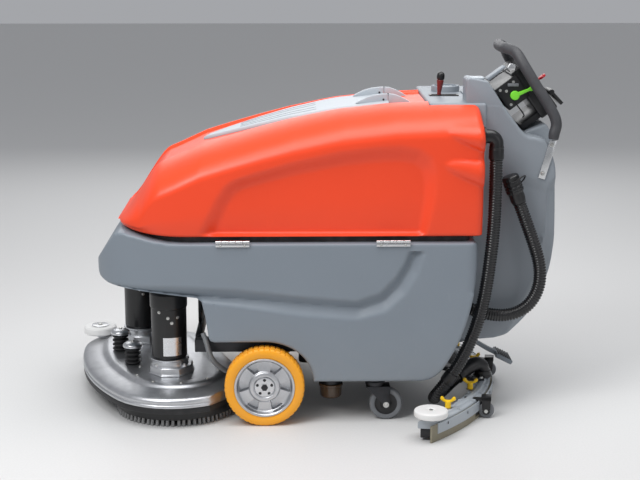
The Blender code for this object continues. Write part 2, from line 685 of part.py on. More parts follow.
# --- hoses --------------------------------------------------------------------------------
def hoses(machine):
    bend = [(0.5198, -0.300, 0.868), (0.534, -0.300, 0.868)]
    bend += [(x, -0.300, z) for x, z in arc((0.534, 0.845), 0.023, 80, 10, 5)]
    bend += [(0.557, -0.300, 0.845), (0.557, -0.300, 0.800)]
    elbow = tube(bend, 0.0205, 16)
    cuff = moved(disc(0.0225, 0.800, 0.838, 20), (0.557, -0.300, 0.0))
    piece(joined(elbow, cuff), "suction_elbow", "black_plastic", machine)
    for name, route, count in (("suction_hose", SUCTION_ROUTE, 26), ("drain_hose", DRAIN_ROUTE, 16)):
        piece(cord(through(route, count), HOSE_RADIUS, name), name, "black_rubber", machine)
    top, bottom = Vector((0.606, -0.250, 0.742)), Vector((0.6368, -0.250, 0.6603))
    length = (bottom - top).length
    ribs = [(0.0, 0.0), (0.0235, 0.0), (0.0265, 0.004), (0.0265, 0.030), (0.0245, 0.032), (0.0275, 0.036),
            (0.0275, 0.050), (0.0235, 0.056), (0.0235, length - 0.012), (0.0215, length), (0.0, length)]
    cap = along(turned(ribs, 24), top, bottom)
    clip = block((0.602, -0.240, 0.698), (0.640, -COLUMN_HALF - GAP, 0.714))
    piece(joined(cap, clip), "drain_cap", "black_plastic", machine)


# --- recovery tank ------------------------------------------------------------------------
def recovery_tank(machine):
    tank = loft([tank_ring(x) for x in TANK_STATIONS])
    notch = block((NOTCH_X, NOTCH_Y, 0.4), (0.6, 0.5, 1.1))
    hollow = block((-0.350, -0.250, 0.620), (0.330, 0.250, 0.785))
    mouth = block((-0.055, -0.110, 0.700), (0.215, 0.110, 1.1))
    cut(tank, notch, hollow, mouth)
    rib_front = LID_HINGE_X + 0.0006
    outline = [(rib_front, 0.930), (rib_front, LID_HINGE_Z), (0.275, 0.969), (0.300, 0.958), (0.322, 0.944),
               (0.334, 0.930)]
    for low in RIB_Y:
        joined(tank, prism(outline, low, low + RIB_WIDTH, "Y"))
    piece(tank, "recovery_tank", "red_plastic", machine, (0.0, TANK_HINGE_Y, TANK_HINGE_Z))


def lid_half(x):
    """Half width of the lid: a long leaf, pointed towards the nose."""
    share = min(1.0, max(0.0, (x - LID_TIP_X) / 0.46))
    return 0.012 + 0.128 * math.sin(0.5 * math.pi * share) ** 0.85


def recovery_lid(machine):
    stations = [x for x in TANK_STATIONS if LID_TIP_X < x < LID_HINGE_X]
    stations += [LID_TIP_X, -0.25, -0.14, 0.0, 0.18, LID_HINGE_X]
    rings = []
    for x in sorted(stations):
        half, low = lid_half(x), tank_valley(x) + GAP
        ring = [(-half, low), (half, low), (half - 0.002, low + 0.009), (0.0, low + 0.012),
                (-half + 0.002, low + 0.009)]
        rings.append([(x, y, z) for y, z in ring])
    lid = loft(rings)
    outline = [(0.149, 0.943), (0.163, 0.950), (0.185, 0.961), (0.215, 0.970), (LID_HINGE_X, LID_HINGE_Z),
               (LID_HINGE_X, 0.9475), (0.215, 0.9445)]
    for y in RIB_Y:
        joined(lid, prism(outline, y, y + RIB_WIDTH, "Y"))
    piece(lid, "recovery_lid", "light_grey_plastic", machine, (LID_HINGE_X, 0.0, LID_HINGE_Z))


# --- wheels -------------------------------------------------------------------------------
def drive_wheels(machine):
    tyre = [(RIM_RADIUS + GAP, WHEEL_INNER_Y + 0.004), (0.100, WHEEL_INNER_Y), (0.113, WHEEL_INNER_Y),
            (WHEEL_RADIUS, WHEEL_INNER_Y + 0.007), (WHEEL_RADIUS, WHEEL_OUTER_Y - 0.007),
            (0.113, WHEEL_OUTER_Y), (0.100, WHEEL_OUTER_Y), (RIM_RADIUS + GAP, WHEEL_OUTER_Y - 0.004)]
    rim = [(0.0, WHEEL_INNER_Y), (0.045, WHEEL_INNER_Y), (0.050, 0.325), (0.078, 0.325), (0.083, 0.314),
           (RIM_RADIUS, 0.314), (RIM_RADIUS, 0.369), (0.085, 0.369), (0.079, 0.352), (0.046, 0.352),
           (0.040, 0.360), (0.016, 0.360), (0.014, 0.354), (0.0, 0.354)]
    parts = (("tyre", tyre, "orange_tyre", True), ("rim", rim, "cast_aluminium", False))
    for side, sign in SIDES.items():
        centre = (AXLE_X, 0.0, WHEEL_RADIUS)
        for name, profile, material, closed in parts:
            shape = turned([(r, sign * h) for r, h in profile], 28, closed)
            piece(moved(shape, centre, "Y"), f"drive_{name}_{side}", material, machine, centre)


def casters(machine):
    top = CASTER_PLATE_Z - 0.006 - GAP
    for side, sign in SIDES.items():
        swivel = Vector((CASTER_X, sign * CASTER_Y, 0.0))
        axle = (CASTER_X + CASTER_TRAIL, sign * CASTER_Y, CASTER_RADIUS)
        race = moved(disc(0.030, 0.108, top, 24), swivel)
        low = (CASTER_X - 0.028, swivel.y - 0.0235, 0.1035)
        crown = block(low, (CASTER_X + 0.045, swivel.y + 0.0235, 0.112))
        legs = []
        for leg in (-1, 1):
            edges = sorted((swivel.y + leg * 0.0175, swivel.y + leg * 0.0235))
            foot = [(0.014, 0.0), (0.008, -0.012), (-0.008, -0.012), (-0.014, 0.0)]
            outline = [(CASTER_X - 0.028, 0.112), (CASTER_X + 0.045, 0.112)]
            outline += [(axle[0] + u, CASTER_RADIUS + v) for u, v in foot]
            legs.append(prism(outline, *edges, "Y"))
        pin = moved(disc(0.0050, -0.026, 0.026, 16), axle, "Y")
        piece(joined(race, crown, *legs, pin), f"caster_fork_{side}", "dark_steel", machine, swivel)
        half = CASTER_WIDTH / 2
        wheel = [(0.0062, -half), (0.016, -half), (0.018, -half + 0.004), (0.036, -half + 0.004),
                 (0.038, -half + 0.001), (CASTER_RADIUS - 0.004, -half + 0.001),
                 (CASTER_RADIUS, -half + 0.006)]
        wheel += [(r, -h) for r, h in reversed(wheel)]
        piece(moved(turned(wheel, 20, True), axle, "Y"), f"caster_wheel_{side}", "grey_tyre", machine, axle)


# --- brush deck ---------------------------------------------------------------------------
def deck_outline(radius, steps=13):
    """A circle round each brush, a straight rear edge and a bulging front edge that touch both."""
    near = Vector((BRUSH_X["left"], BRUSH_Y["left"]))
    far = Vector((BRUSH_X["right"], BRUSH_Y["right"]))
    line = math.degrees(math.atan2(far.y - near.y, far.x - near.x))
    front_radius = DECK_RADIUS + 0.5 * (far - near).length / math.sin(math.radians(DECK_BULGE))
    turn = math.radians(line + 90 + DECK_BULGE)
    centre = near + (DECK_RADIUS - front_radius) * Vector((math.cos(turn), math.sin(turn)))
    front_radius += radius - DECK_RADIUS
    outline = arc(near, radius, line + 90 + DECK_BULGE, line + 270, steps)
    outline += arc(far, radius, line - 90, line + 90 - DECK_BULGE, steps)
    return outline + arc(centre, front_radius, line + 90 - DECK_BULGE, line + 90 + DECK_BULGE, 7)[1:-1]


def deck_cover(deck):
    cover = prism(deck_outline(DECK_RADIUS), 0.046, 0.094, "Z")
    top = prism(deck_outline(DECK_RADIUS - 0.022), 0.090, 0.106, "Z")
    crown = prism(deck_outline(DECK_RADIUS - 0.074), 0.100, DECK_TOP, "Z")
    roller_arm = block((-0.715, 0.235, 0.100), (-0.620, 0.290, 0.106))
    roller_pin = moved(disc(0.008, 0.104, 0.1445, 12), BUMPER_PIN)
    joined(cover, top, crown, roller_arm, roller_pin)
    turn, reach = WHEEL_CLEARANCE
    trim = moved(block((reach, -0.3, -0.1), (0.5, 0.3, 0.3)), turn_z=math.radians(-turn))
    cut(cover, moved(trim, (BRUSH_X["left"], BRUSH_Y["left"], 0.0)))
    for side in SIDES:
        x, y = BRUSH_X[side], BRUSH_Y[side]
        cut(cover, moved(disc(BRUSH_RADIUS + 0.0085, 0.0, 0.089, 40), (x, y, 0.0)))
        cut(cover, moved(disc(0.030, 0.05, 0.2, 24), (x, y, 0.0)))
    piece(cover, "deck_cover", "cast_aluminium", deck)


def bumper_roller(deck):
    profile = [(0.0090, 0.1110), (0.050, 0.1110), (0.055, 0.115), (0.055, 0.133), (0.050, 0.1370),
               (0.0090, 0.1370)]
    ring = moved(turned(profile, 32, True), BUMPER_PIN)
    piece(ring, "bumper_roller", "white_plastic", deck, BUMPER_PIN)


def brush_drives(deck):
    for side in SIDES:
        x, y = BRUSH_X[side], BRUSH_Y[side]
        motor_x = x + MOTOR_OFFSET_X
        profile = [(0.0, 0.1663), (MOTOR_RADIUS, 0.1663), (MOTOR_RADIUS, 0.325),
                   (MOTOR_RADIUS + 0.003, 0.329), (MOTOR_RADIUS + 0.003, 0.372),
                   (MOTOR_RADIUS - 0.003, 0.378), (0.0, 0.378)]
        can = turned(profile, 28)
        piece(moved(can, (motor_x, y, 0.0)), f"brush_motor_{side}", "black_plastic", deck)
        lower = moved(disc(0.076, DECK_TOP + GAP, 0.145, 8), (motor_x + 0.006, y, 0.0), "Z", math.pi / 8)
        upper = moved(disc(0.060, 0.140, 0.166, 24), (motor_x, y, 0.0))
        piece(joined(lower, upper), f"brush_gearbox_{side}", "cast_aluminium", deck)
        brush = [(0.0, 0.046), (BRUSH_RADIUS, 0.046), (BRUSH_RADIUS, 0.078), (0.170, 0.082), (0.026, 0.082),
                 (0.026, 0.1172), (0.0, 0.1172)]
        centre = (x, y, 0.0)
        piece(moved(turned(brush, 40), centre), f"brush_block_{side}", "black_plastic", deck, centre)
        top = 0.046 - GAP
        tufts = [(0.060, top), (0.052, 0.0005), (BRUSH_RADIUS + 0.003, 0.0005), (BRUSH_RADIUS - 0.004, top)]
        piece(moved(turned(tufts, 40, True), centre), f"brush_bristles_{side}", "bristle", deck, centre)


def deck_mounts(deck):
    for name, x, y in (("deck_mount_left", -0.5515, -0.100), ("deck_mount_right", -0.608, 0.050)):
        folds = [(0.0, 0.1178)]
        for k in range(4):
            z = 0.1178 + 0.0145 * k
            folds += [(0.019, z), (0.026, z + 0.005), (0.019, z + 0.0125)]
        folds += [(0.019, 0.172), (0.031, 0.175), (0.031, 0.183), (0.024, 0.191), (0.0, 0.194)]
        piece(moved(turned(folds, 14), (x, y, 0.0)), name, "black_rubber", deck)


# --- squeegee, drawn straight behind its swing axis --------------------------------------
def squeegee_pivot(swing):
    hub = moved(disc(0.026, 0.092, 0.1300, 20), (0.0, 0.0, 0.0))
    ear_end = SQUEEGEE_LIFT_X + 0.012
    ears = [block((0.010, y - 0.004, 0.094), (ear_end, y + 0.004, 0.122)) for y in (-0.022, 0.022)]
    piece(joined(hub, *ears), "squeegee_pivot", "dark_steel", swing)


def squeegee_parts(swing):
    """Everything that lifts, drawn in the swing frame."""
    origin = (SQUEEGEE_LIFT_X, 0.0, SQUEEGEE_LIFT_Z)
    eye = moved(disc(0.012, -0.0175, 0.0175, 18), origin, "Y")
    arm_side = [(0.045, 0.102), (0.400, 0.090), (0.520, 0.0675), (0.534, 0.0675), (0.534, 0.076),
                (0.405, 0.104), (0.045, 0.116)]
    arm = prism(arm_side, -0.014, 0.014, "Y")
    yoke = block((0.524, -0.055, 0.0660), (0.5405, 0.055, 0.0740))
    lugs = [block((0.535, y - 0.0085, 0.0658), (0.577, y + 0.0085, 0.0725)) for y in (-0.0465, 0.0465)]
    made = [piece(joined(arm, eye, yoke, *lugs), "squeegee_arm", "dark_steel", swing, origin)]

    body = bowed_strip(-0.030, 0.022, 0.036, 0.0655, SQUEEGEE_HALF, "body")
    rear = bowed_strip(0.0232, 0.0280, 0.0005, 0.052, SQUEEGEE_HALF + 0.022, "rear")
    for side, sign in SIDES.items():
        wheel_y = sign * SUPPORT_WHEEL_Y
        joined(body, *support_fork(wheel_y))
        cut(rear, block((0.5, wheel_y - 0.030, 0.008), (0.62, wheel_y + 0.030, 0.08)))
        centre = (SQUEEGEE_MID_X - SQUEEGEE_BOW * END_ROLLER_Y**2 - 0.002, sign * END_ROLLER_Y, 0.0)
        joined(body, moved(disc(0.012, 0.050, 0.0700, 16), centre))
        roller_side = [(0.0, 0.0703), (0.046, 0.0703), (0.050, 0.074), (0.050, 0.088), (0.046, 0.092),
                       (0.0, 0.092)]
        roller = moved(turned(roller_side, 32), centre)
        made.append(piece(roller, f"end_roller_{side}", "white_plastic", swing, centre))
        wheel_side = [(0.0045, -0.009), (0.022, -0.009), (SUPPORT_WHEEL_RADIUS, -0.006),
                      (SUPPORT_WHEEL_RADIUS, 0.006), (0.022, 0.009), (0.0045, 0.009)]
        axle = (SUPPORT_WHEEL_X, wheel_y, SUPPORT_WHEEL_RADIUS)
        wheel = moved(turned(wheel_side, 24, True), axle, "Y")
        made.append(piece(wheel, f"support_wheel_{side}", "grey_tyre", swing, axle))
    made.append(piece(body, "squeegee_body", "cast_aluminium", swing))
    made.append(piece(rear, "rear_blade", "tan_rubber", swing))
    front = bowed_strip(-0.0362, -0.0312, 0.0005, 0.045, SQUEEGEE_HALF - 0.03, "front")
    made.append(piece(front, "front_blade", "black_rubber", swing))

    collar = moved(disc(0.028, 0.0658, 0.086, 24), (0.570, 0.0, 0.0))
    spout_route = [(0.570, 0.0, 0.080), (0.566, -0.006, 0.100), (0.549, -0.018, 0.110),
                   (0.526, -0.036, 0.103), (0.505, -0.051, 0.088), (0.4912, -0.0685, 0.0797)]
    spout = tube(through(spout_route, 12), HOSE_RADIUS + 0.0025, 14)
    made.append(piece(joined(collar, spout), "suction_collar", "black_plastic", swing))

    for name, x, y in WING_KNOBS:
        stem = moved(disc(0.009, 0.0658, 0.088, 14), (x, y, 0.0))
        wing = block((x - 0.024, y - 0.006, 0.084), (x + 0.024, y + 0.006, 0.101))
        made.append(piece(joined(stem, wing), f"wing_knob_{name}", "yellow_plastic", swing, (x, y, 0.0)))
    return made


def support_fork(y):
    """The solids that hold one small wheel behind the squeegee."""
    solids = [
        block((0.520, y - 0.008, 0.050), (0.588, y + 0.008, 0.062)),
        block((0.572, y - 0.016, 0.055), (0.602, y + 0.016, 0.070)),
        moved(disc(0.0035, -0.015, 0.015, 12), (SUPPORT_WHEEL_X, y, SUPPORT_WHEEL_RADIUS), "Y"),
    ]
    for middle in (y - 0.0135, y + 0.0135):
        solids.append(block((0.572, middle - 0.0025, 0.012), (0.602, middle + 0.0025, 0.070)))
    return solids


def hang_on(axis, objects):
    """Parents finished objects to an empty on their joint's axis, and leaves them where they are."""
    for obj in objects:
        obj.parent = axis
        obj.matrix_parent_inverse = Matrix.Translation(axis.location).inverted()


def build():
    machine = make_empty("machine", MACHINE_SHIFT)
    solution_tank(machine)
    control_column(machine)
    vacuum_motor(machine)
    batteries(machine)
    chassis_frame(machine)
    filter_bowl(machine)
    transaxle(machine)
    tank_hinges(machine)
    handle(machine)
    console(machine)
    controls(machine)
    lift_lever(machine)
    filler_cap(machine)
    foot_pedal(machine)
    hoses(machine)
    recovery_tank(machine)
    recovery_lid(machine)
    drive_wheels(machine)
    casters(machine)
    deck_cover(machine)
    bumper_roller(machine)
    brush_drives(machine)
    deck_mounts(machine)
    swing = make_empty("squeegee_swing_axis", (PIVOT_X, 0.0, 0.0), machine, SQUEEGEE_YAW)
    squeegee_pivot(swing)
    lift = make_empty("squeegee_lift_axis", (SQUEEGEE_LIFT_X, 0.0, SQUEEGEE_LIFT_Z), swing)
    hang_on(lift, squeegee_parts(swing))


clear_scene()
MADE = make_materials()
build()
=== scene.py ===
"""Looks for the walk-behind floor scrubber-dryer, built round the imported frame.

Shapes are drawn in the machine's own frame (centre plane y = 0, +X towards the operator), and
placed() moves them into the row frame. The squeegee is drawn straight behind its swing axis.
"""

import json
import math
import random

import bmesh
import bpy
import numpy as np
from mathutils import Matrix, Vector
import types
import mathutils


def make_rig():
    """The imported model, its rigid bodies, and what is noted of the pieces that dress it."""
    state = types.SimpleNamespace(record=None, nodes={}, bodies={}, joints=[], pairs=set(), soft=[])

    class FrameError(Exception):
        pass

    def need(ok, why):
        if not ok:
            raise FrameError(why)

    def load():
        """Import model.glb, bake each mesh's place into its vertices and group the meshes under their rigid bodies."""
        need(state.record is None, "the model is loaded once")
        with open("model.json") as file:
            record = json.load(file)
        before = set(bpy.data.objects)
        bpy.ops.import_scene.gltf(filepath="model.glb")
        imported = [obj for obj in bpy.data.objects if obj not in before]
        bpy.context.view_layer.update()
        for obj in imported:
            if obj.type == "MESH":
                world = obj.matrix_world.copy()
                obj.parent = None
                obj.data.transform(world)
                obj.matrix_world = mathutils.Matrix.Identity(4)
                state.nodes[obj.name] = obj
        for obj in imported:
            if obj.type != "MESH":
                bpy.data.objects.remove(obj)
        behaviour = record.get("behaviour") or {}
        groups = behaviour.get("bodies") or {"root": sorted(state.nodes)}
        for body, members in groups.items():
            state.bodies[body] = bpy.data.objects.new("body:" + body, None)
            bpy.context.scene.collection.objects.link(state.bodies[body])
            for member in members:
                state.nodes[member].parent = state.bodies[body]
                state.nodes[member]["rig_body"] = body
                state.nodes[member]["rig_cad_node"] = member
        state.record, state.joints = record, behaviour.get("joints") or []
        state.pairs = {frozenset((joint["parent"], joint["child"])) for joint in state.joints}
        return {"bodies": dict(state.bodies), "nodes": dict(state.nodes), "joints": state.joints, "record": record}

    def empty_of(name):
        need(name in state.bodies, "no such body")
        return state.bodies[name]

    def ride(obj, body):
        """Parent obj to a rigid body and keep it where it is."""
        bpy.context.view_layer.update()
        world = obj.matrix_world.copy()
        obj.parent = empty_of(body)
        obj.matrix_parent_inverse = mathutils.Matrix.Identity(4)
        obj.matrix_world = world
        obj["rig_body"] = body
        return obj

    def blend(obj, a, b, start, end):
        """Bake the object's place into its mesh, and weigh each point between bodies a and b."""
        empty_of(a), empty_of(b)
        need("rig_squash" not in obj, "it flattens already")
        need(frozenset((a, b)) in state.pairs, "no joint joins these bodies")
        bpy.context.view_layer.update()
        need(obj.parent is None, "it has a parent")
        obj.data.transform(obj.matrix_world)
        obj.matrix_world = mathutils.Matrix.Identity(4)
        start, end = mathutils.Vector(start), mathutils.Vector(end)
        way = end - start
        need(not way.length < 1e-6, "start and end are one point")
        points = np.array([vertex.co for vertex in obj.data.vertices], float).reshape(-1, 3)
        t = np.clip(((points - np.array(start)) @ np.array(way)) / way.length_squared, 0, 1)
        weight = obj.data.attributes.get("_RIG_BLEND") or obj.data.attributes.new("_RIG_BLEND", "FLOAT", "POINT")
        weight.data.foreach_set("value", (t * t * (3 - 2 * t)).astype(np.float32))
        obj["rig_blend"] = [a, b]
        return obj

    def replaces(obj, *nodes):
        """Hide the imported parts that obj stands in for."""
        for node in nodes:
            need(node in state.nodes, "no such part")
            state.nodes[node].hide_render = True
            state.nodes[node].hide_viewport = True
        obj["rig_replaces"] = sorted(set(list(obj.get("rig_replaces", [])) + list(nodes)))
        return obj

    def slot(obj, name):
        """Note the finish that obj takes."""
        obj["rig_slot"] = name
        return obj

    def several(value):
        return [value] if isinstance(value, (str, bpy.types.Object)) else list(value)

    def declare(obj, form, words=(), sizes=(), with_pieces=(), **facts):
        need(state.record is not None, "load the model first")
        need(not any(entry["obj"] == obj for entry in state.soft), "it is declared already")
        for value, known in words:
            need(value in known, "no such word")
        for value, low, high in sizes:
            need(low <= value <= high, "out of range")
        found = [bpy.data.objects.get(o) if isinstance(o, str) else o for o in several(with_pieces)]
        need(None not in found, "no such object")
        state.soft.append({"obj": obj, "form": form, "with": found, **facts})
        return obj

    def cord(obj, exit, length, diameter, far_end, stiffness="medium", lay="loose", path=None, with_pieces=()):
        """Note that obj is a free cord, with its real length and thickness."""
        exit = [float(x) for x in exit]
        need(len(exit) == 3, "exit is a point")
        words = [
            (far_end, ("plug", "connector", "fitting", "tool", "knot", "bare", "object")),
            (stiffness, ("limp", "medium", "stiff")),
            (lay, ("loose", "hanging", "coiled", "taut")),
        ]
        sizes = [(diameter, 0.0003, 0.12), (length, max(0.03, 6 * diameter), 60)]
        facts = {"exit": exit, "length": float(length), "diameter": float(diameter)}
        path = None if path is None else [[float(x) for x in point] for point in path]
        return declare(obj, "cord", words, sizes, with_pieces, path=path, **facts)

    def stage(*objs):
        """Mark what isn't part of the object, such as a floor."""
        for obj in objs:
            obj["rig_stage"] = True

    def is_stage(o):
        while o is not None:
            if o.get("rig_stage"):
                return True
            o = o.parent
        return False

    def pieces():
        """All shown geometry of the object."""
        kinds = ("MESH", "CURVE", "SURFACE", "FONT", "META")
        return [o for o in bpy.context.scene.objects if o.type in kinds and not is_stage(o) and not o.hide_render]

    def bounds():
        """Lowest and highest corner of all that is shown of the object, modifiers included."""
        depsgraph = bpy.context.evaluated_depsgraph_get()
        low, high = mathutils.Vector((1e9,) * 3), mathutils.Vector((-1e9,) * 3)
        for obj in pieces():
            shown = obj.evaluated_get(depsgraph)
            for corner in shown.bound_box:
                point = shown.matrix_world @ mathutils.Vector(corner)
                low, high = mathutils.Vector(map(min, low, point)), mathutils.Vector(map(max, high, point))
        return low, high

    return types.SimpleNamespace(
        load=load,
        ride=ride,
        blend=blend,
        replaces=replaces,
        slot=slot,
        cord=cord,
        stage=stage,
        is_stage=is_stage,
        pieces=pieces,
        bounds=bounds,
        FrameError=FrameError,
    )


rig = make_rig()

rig.load()
cad_low, cad_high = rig.bounds()

# --- where the machine's frame lies in the row frame ----------------------------------------------
SHIFT = Vector((-0.0146, 0.0673, 0.0))
STRAIGHT = Matrix.Translation(SHIFT)
SQUEEGEE_YAW = math.radians(-9.0)  # the squeegee rests swung to the machine's left
SWUNG = STRAIGHT @ Matrix.Rotation(SQUEEGEE_YAW, 4, "Z")

# --- driving dimensions, as in the frame ----------------------------------------------------------
BODY_HALF = 0.345  # half width of the solution tank
BODY_TOP = 0.556
PLINTH_TOP = 0.574  # the recovery tank rests here
BODY_BASE = 0.130
NOSE_X = -0.646
REAR_X = 0.507
NOSE_START_X = -0.300
TANK_HALF = 0.342
TANK_NOSE_X = -0.575
TANK_REAR_X = 0.519
TANK_VALLEY = 0.010  # the lid's valley lies this far under the two ridges
VALLEY_HALF = 0.148
NOTCH_X = 0.365  # the tank's rear right corner is cut away from here
NOTCH_Y = -0.210
COLUMN_HALF = 0.200
SHELF_Z = 0.955
AXLE_X = -0.130
WHEEL_RADIUS = 0.120
WHEEL_INNER_Y = 0.312
WHEEL_OUTER_Y = 0.370
RIM_RADIUS = 0.091
CASTER_X = 0.205
CASTER_Y = 0.300
CASTER_TRAIL = 0.033
CASTER_RADIUS = 0.050
BRUSH_RADIUS = 0.187
DECK_RADIUS = 0.215
DECK_BULGE = 17.0  # half of the angle that the deck's front edge turns through
WHEEL_CLEARANCE = (37.0, 0.1985)  # the deck is trimmed flat, this way (degrees) and far from the left brush
BRUSH_X = {"left": -0.406, "right": -0.530}
BRUSH_Y = {"left": -0.180, "right": 0.180}
MOTOR_OFFSET_X = -0.022
MOTOR_RADIUS = 0.0545
MOTOR_POCKET_RADIUS = 0.067  # pockets in the tank's underside, for the lifted motors
MOTOR_POCKET_TOP = 0.422
HOSE_RADIUS = 0.020
LID_HINGE_X = 0.2493
LID_TIP_X = -0.322
SQUEEGEE_BOW = 0.77  # curvature of the squeegee seen from above
SQUEEGEE_MID_X = 0.572
SQUEEGEE_HALF = 0.440
SIDES = {"left": -1.0, "right": 1.0}

# routes of the two free hoses, in the machine's frame
SUCTION_ROUTE = [
    (0.557, -0.300, 0.7995), (0.557, -0.300, 0.740), (0.557, -0.300, 0.680),
    (0.556, -0.300, 0.620), (0.553, -0.300, 0.560), (0.548, -0.300, 0.505),
    (0.541, -0.300, 0.440), (0.531, -0.300, 0.375), (0.516, -0.300, 0.310),
    (0.494, -0.301, 0.245), (0.463, -0.303, 0.180), (0.425, -0.302, 0.118),
    (0.398, -0.289, 0.075), (0.391, -0.262, 0.052), (0.399, -0.232, 0.047),
    (0.420, -0.203, 0.053), (0.447, -0.173, 0.067), (0.473, -0.146, 0.079),
]
DRAIN_ROUTE = [
    (0.6370, -0.250, 0.6600), (0.650, -0.250, 0.627), (0.664, -0.250, 0.590),
    (0.678, -0.250, 0.553), (0.691, -0.250, 0.516), (0.702, -0.250, 0.478),
    (0.707, -0.250, 0.440), (0.704, -0.250, 0.402), (0.691, -0.250, 0.366),
    (0.668, -0.250, 0.337), (0.636, -0.250, 0.318), (0.600, -0.250, 0.311),
    (0.563, -0.250, 0.313), (0.527, -0.250, 0.321), (0.4965, -0.250, 0.331),
]


# --- camera, floor and light ----------------------------------------------------------------------
CAMERA_PLACE = (-0.046, -4.373, 1.438)
CAMERA_AIM = (0.020, 0.977, -0.211)
CAMERA_UP = (0.004, 0.211, 0.977)
CAMERA_LENS = 78.75


def make_camera():
    data = bpy.data.cameras.new("camera")
    data.lens = CAMERA_LENS
    data.sensor_width = 36.0
    data.clip_end = 100.0
    camera = bpy.data.objects.new("camera", data)
    bpy.context.scene.collection.objects.link(camera)
    back = -Vector(CAMERA_AIM).normalized()
    right = Vector(CAMERA_UP).cross(back).normalized()
    above = back.cross(right)
    turn = Matrix((right, above, back)).transposed().to_4x4()
    camera.matrix_world = Matrix.Translation(Vector(CAMERA_PLACE) + SHIFT) @ turn
    bpy.context.scene.camera = camera


def area_light(name, place, target, size, power, colour=(1.0, 1.0, 1.0)):
    data = bpy.data.lights.new(name, "AREA")
    data.shape = "RECTANGLE"
    data.size, data.size_y = size
    data.energy = power
    data.color = colour
    light = bpy.data.objects.new(name, data)
    bpy.context.scene.collection.objects.link(light)
    light.location = place
    light.rotation_euler = (Vector(target) - Vector(place)).to_track_quat("-Z", "Y").to_euler()


def make_lights():
    middle = (0.0, 0.0, 0.5)
    area_light("key", (-2.2, -2.6, 3.6), middle, (1.8, 1.8), 95.0)
    area_light("fill", (3.4, -3.0, 1.8), middle, (2.0, 2.6), 14.0)
    area_light("overhead", (0.3, -0.5, 3.2), middle, (3.6, 1.8), 80.0)
    area_light("back", (0.0, 4.2, 2.6), middle, (4.0, 2.0), 50.0)
    world = bpy.data.worlds.new("studio")
    world.use_nodes = True
    shade = world.node_tree.nodes["Background"]
    shade.inputs["Color"].default_value = (0.93, 0.95, 1.0, 1.0)
    shade.inputs["Strength"].default_value = 0.40
    bpy.context.scene.world = world
    bpy.context.scene.view_settings.view_transform = "Standard"


# --- materials ------------------------------------------------------------------------------------
class Nodes:
    """A short way to lay out a material's nodes."""

    def __init__(self, name):
        self.material = bpy.data.materials.new(name)
        self.material.use_nodes = True
        self.tree = self.material.node_tree
        self.shader = self.tree.nodes["Principled BSDF"]
        self.coords = self.tree.nodes.new("ShaderNodeTexCoord").outputs["Object"]

    def add(self, kind, **sockets):
        node = self.tree.nodes.new("ShaderNode" + kind)
        for key, value in sockets.items():
            self.feed(node.inputs[key.replace("_", " ")], value)
        return node

    def feed(self, socket, value):
        if isinstance(value, bpy.types.NodeSocket):
            self.tree.links.new(value, socket)
        else:
            socket.default_value = value

    def stretched(self, scale):
        """The surface coordinates, stretched by a factor along each axis."""
        return self.add("Mapping", Vector=self.coords, Scale=scale).outputs["Vector"]

    def noise(self, scale, detail=3.0, vector=None, rough=0.5):
        node = self.add("TexNoise", Scale=scale, Detail=detail, Roughness=rough)
        self.feed(node.inputs["Vector"], self.coords if vector is None else vector)
        return node.outputs["Fac"]

    def ramp(self, value, stops):
        """A value turned into colours or greys at the given places."""
        node = self.tree.nodes.new("ShaderNodeValToRGB")
        self.feed(node.inputs["Fac"], value)
        marks = node.color_ramp.elements
        while len(marks) < len(stops):
            marks.new(0.5)
        for mark, (place, colour) in zip(marks, stops):
            mark.position = place
            mark.color = colour if len(colour) == 4 else (*colour, 1.0)
        return node.outputs["Color"]

    def mixed(self, share, first, second, blend="MIX"):
        node = self.tree.nodes.new("ShaderNodeMix")
        node.data_type = "RGBA"
        node.blend_type = blend
        self.feed(node.inputs[0], share)
        self.feed(node.inputs[6], first if isinstance(first, bpy.types.NodeSocket) else (*first, 1.0))
        self.feed(node.inputs[7], second if isinstance(second, bpy.types.NodeSocket) else (*second, 1.0))
        return node.outputs[2]

    def ranged(self, value, low, high):
        node = self.tree.nodes.new("ShaderNodeMapRange")
        self.feed(node.inputs["Value"], value)
        node.inputs["To Min"].default_value = low
        node.inputs["To Max"].default_value = high
        return node.outputs["Result"]

    def bumped(self, height, strength, distance):
        node = self.add("Bump", Height=height, Strength=strength, Distance=distance)
        self.tree.links.new(node.outputs["Normal"], self.shader.inputs["Normal"])

    def height_above_floor(self):
        return self.add("SeparateXYZ", Vector=self.coords).outputs["Z"]


def shade(colour, factor):
    return tuple(min(1.0, c * factor) for c in colour)


def plastic(name, colour, rough=(0.34, 0.46), grain=420.0, bump=0.10, mottle=0.06, dust=0.0, coat=0.0):
    """Moulded plastic: a faint cloudy tint, an orange-peel grain and, low down, floor dust."""
    n = Nodes(name)
    cloud = n.noise(5.0, 4.0)
    base = n.mixed(cloud, shade(colour, 1.0 - mottle), shade(colour, 1.0 + mottle))
    scuff = n.ramp(n.noise(70.0, 8.0, n.stretched((1.0, 1.0, 0.25))), [(0.66, (0, 0, 0)), (0.74, (1, 1, 1))])
    base = n.mixed(n.ranged(scuff, 0.0, 0.10), base, shade(colour, 1.45))
    if dust:
        low = n.ramp(n.height_above_floor(), [(0.0, (1, 1, 1)), (0.32, (0, 0, 0))])
        patch = n.mixed(n.noise(38.0, 5.0), (0, 0, 0), low)
        base = n.mixed(n.ranged(patch, 0.0, dust), base, (0.34, 0.32, 0.29))
    n.feed(n.shader.inputs["Base Color"], base)
    n.feed(n.shader.inputs["Roughness"], n.ranged(n.noise(26.0, 5.0), *rough))
    n.shader.inputs["Coat Weight"].default_value = coat
    n.shader.inputs["Coat Roughness"].default_value = 0.25
    n.bumped(n.noise(grain, 2.0), bump, 0.0006)
    return n.material


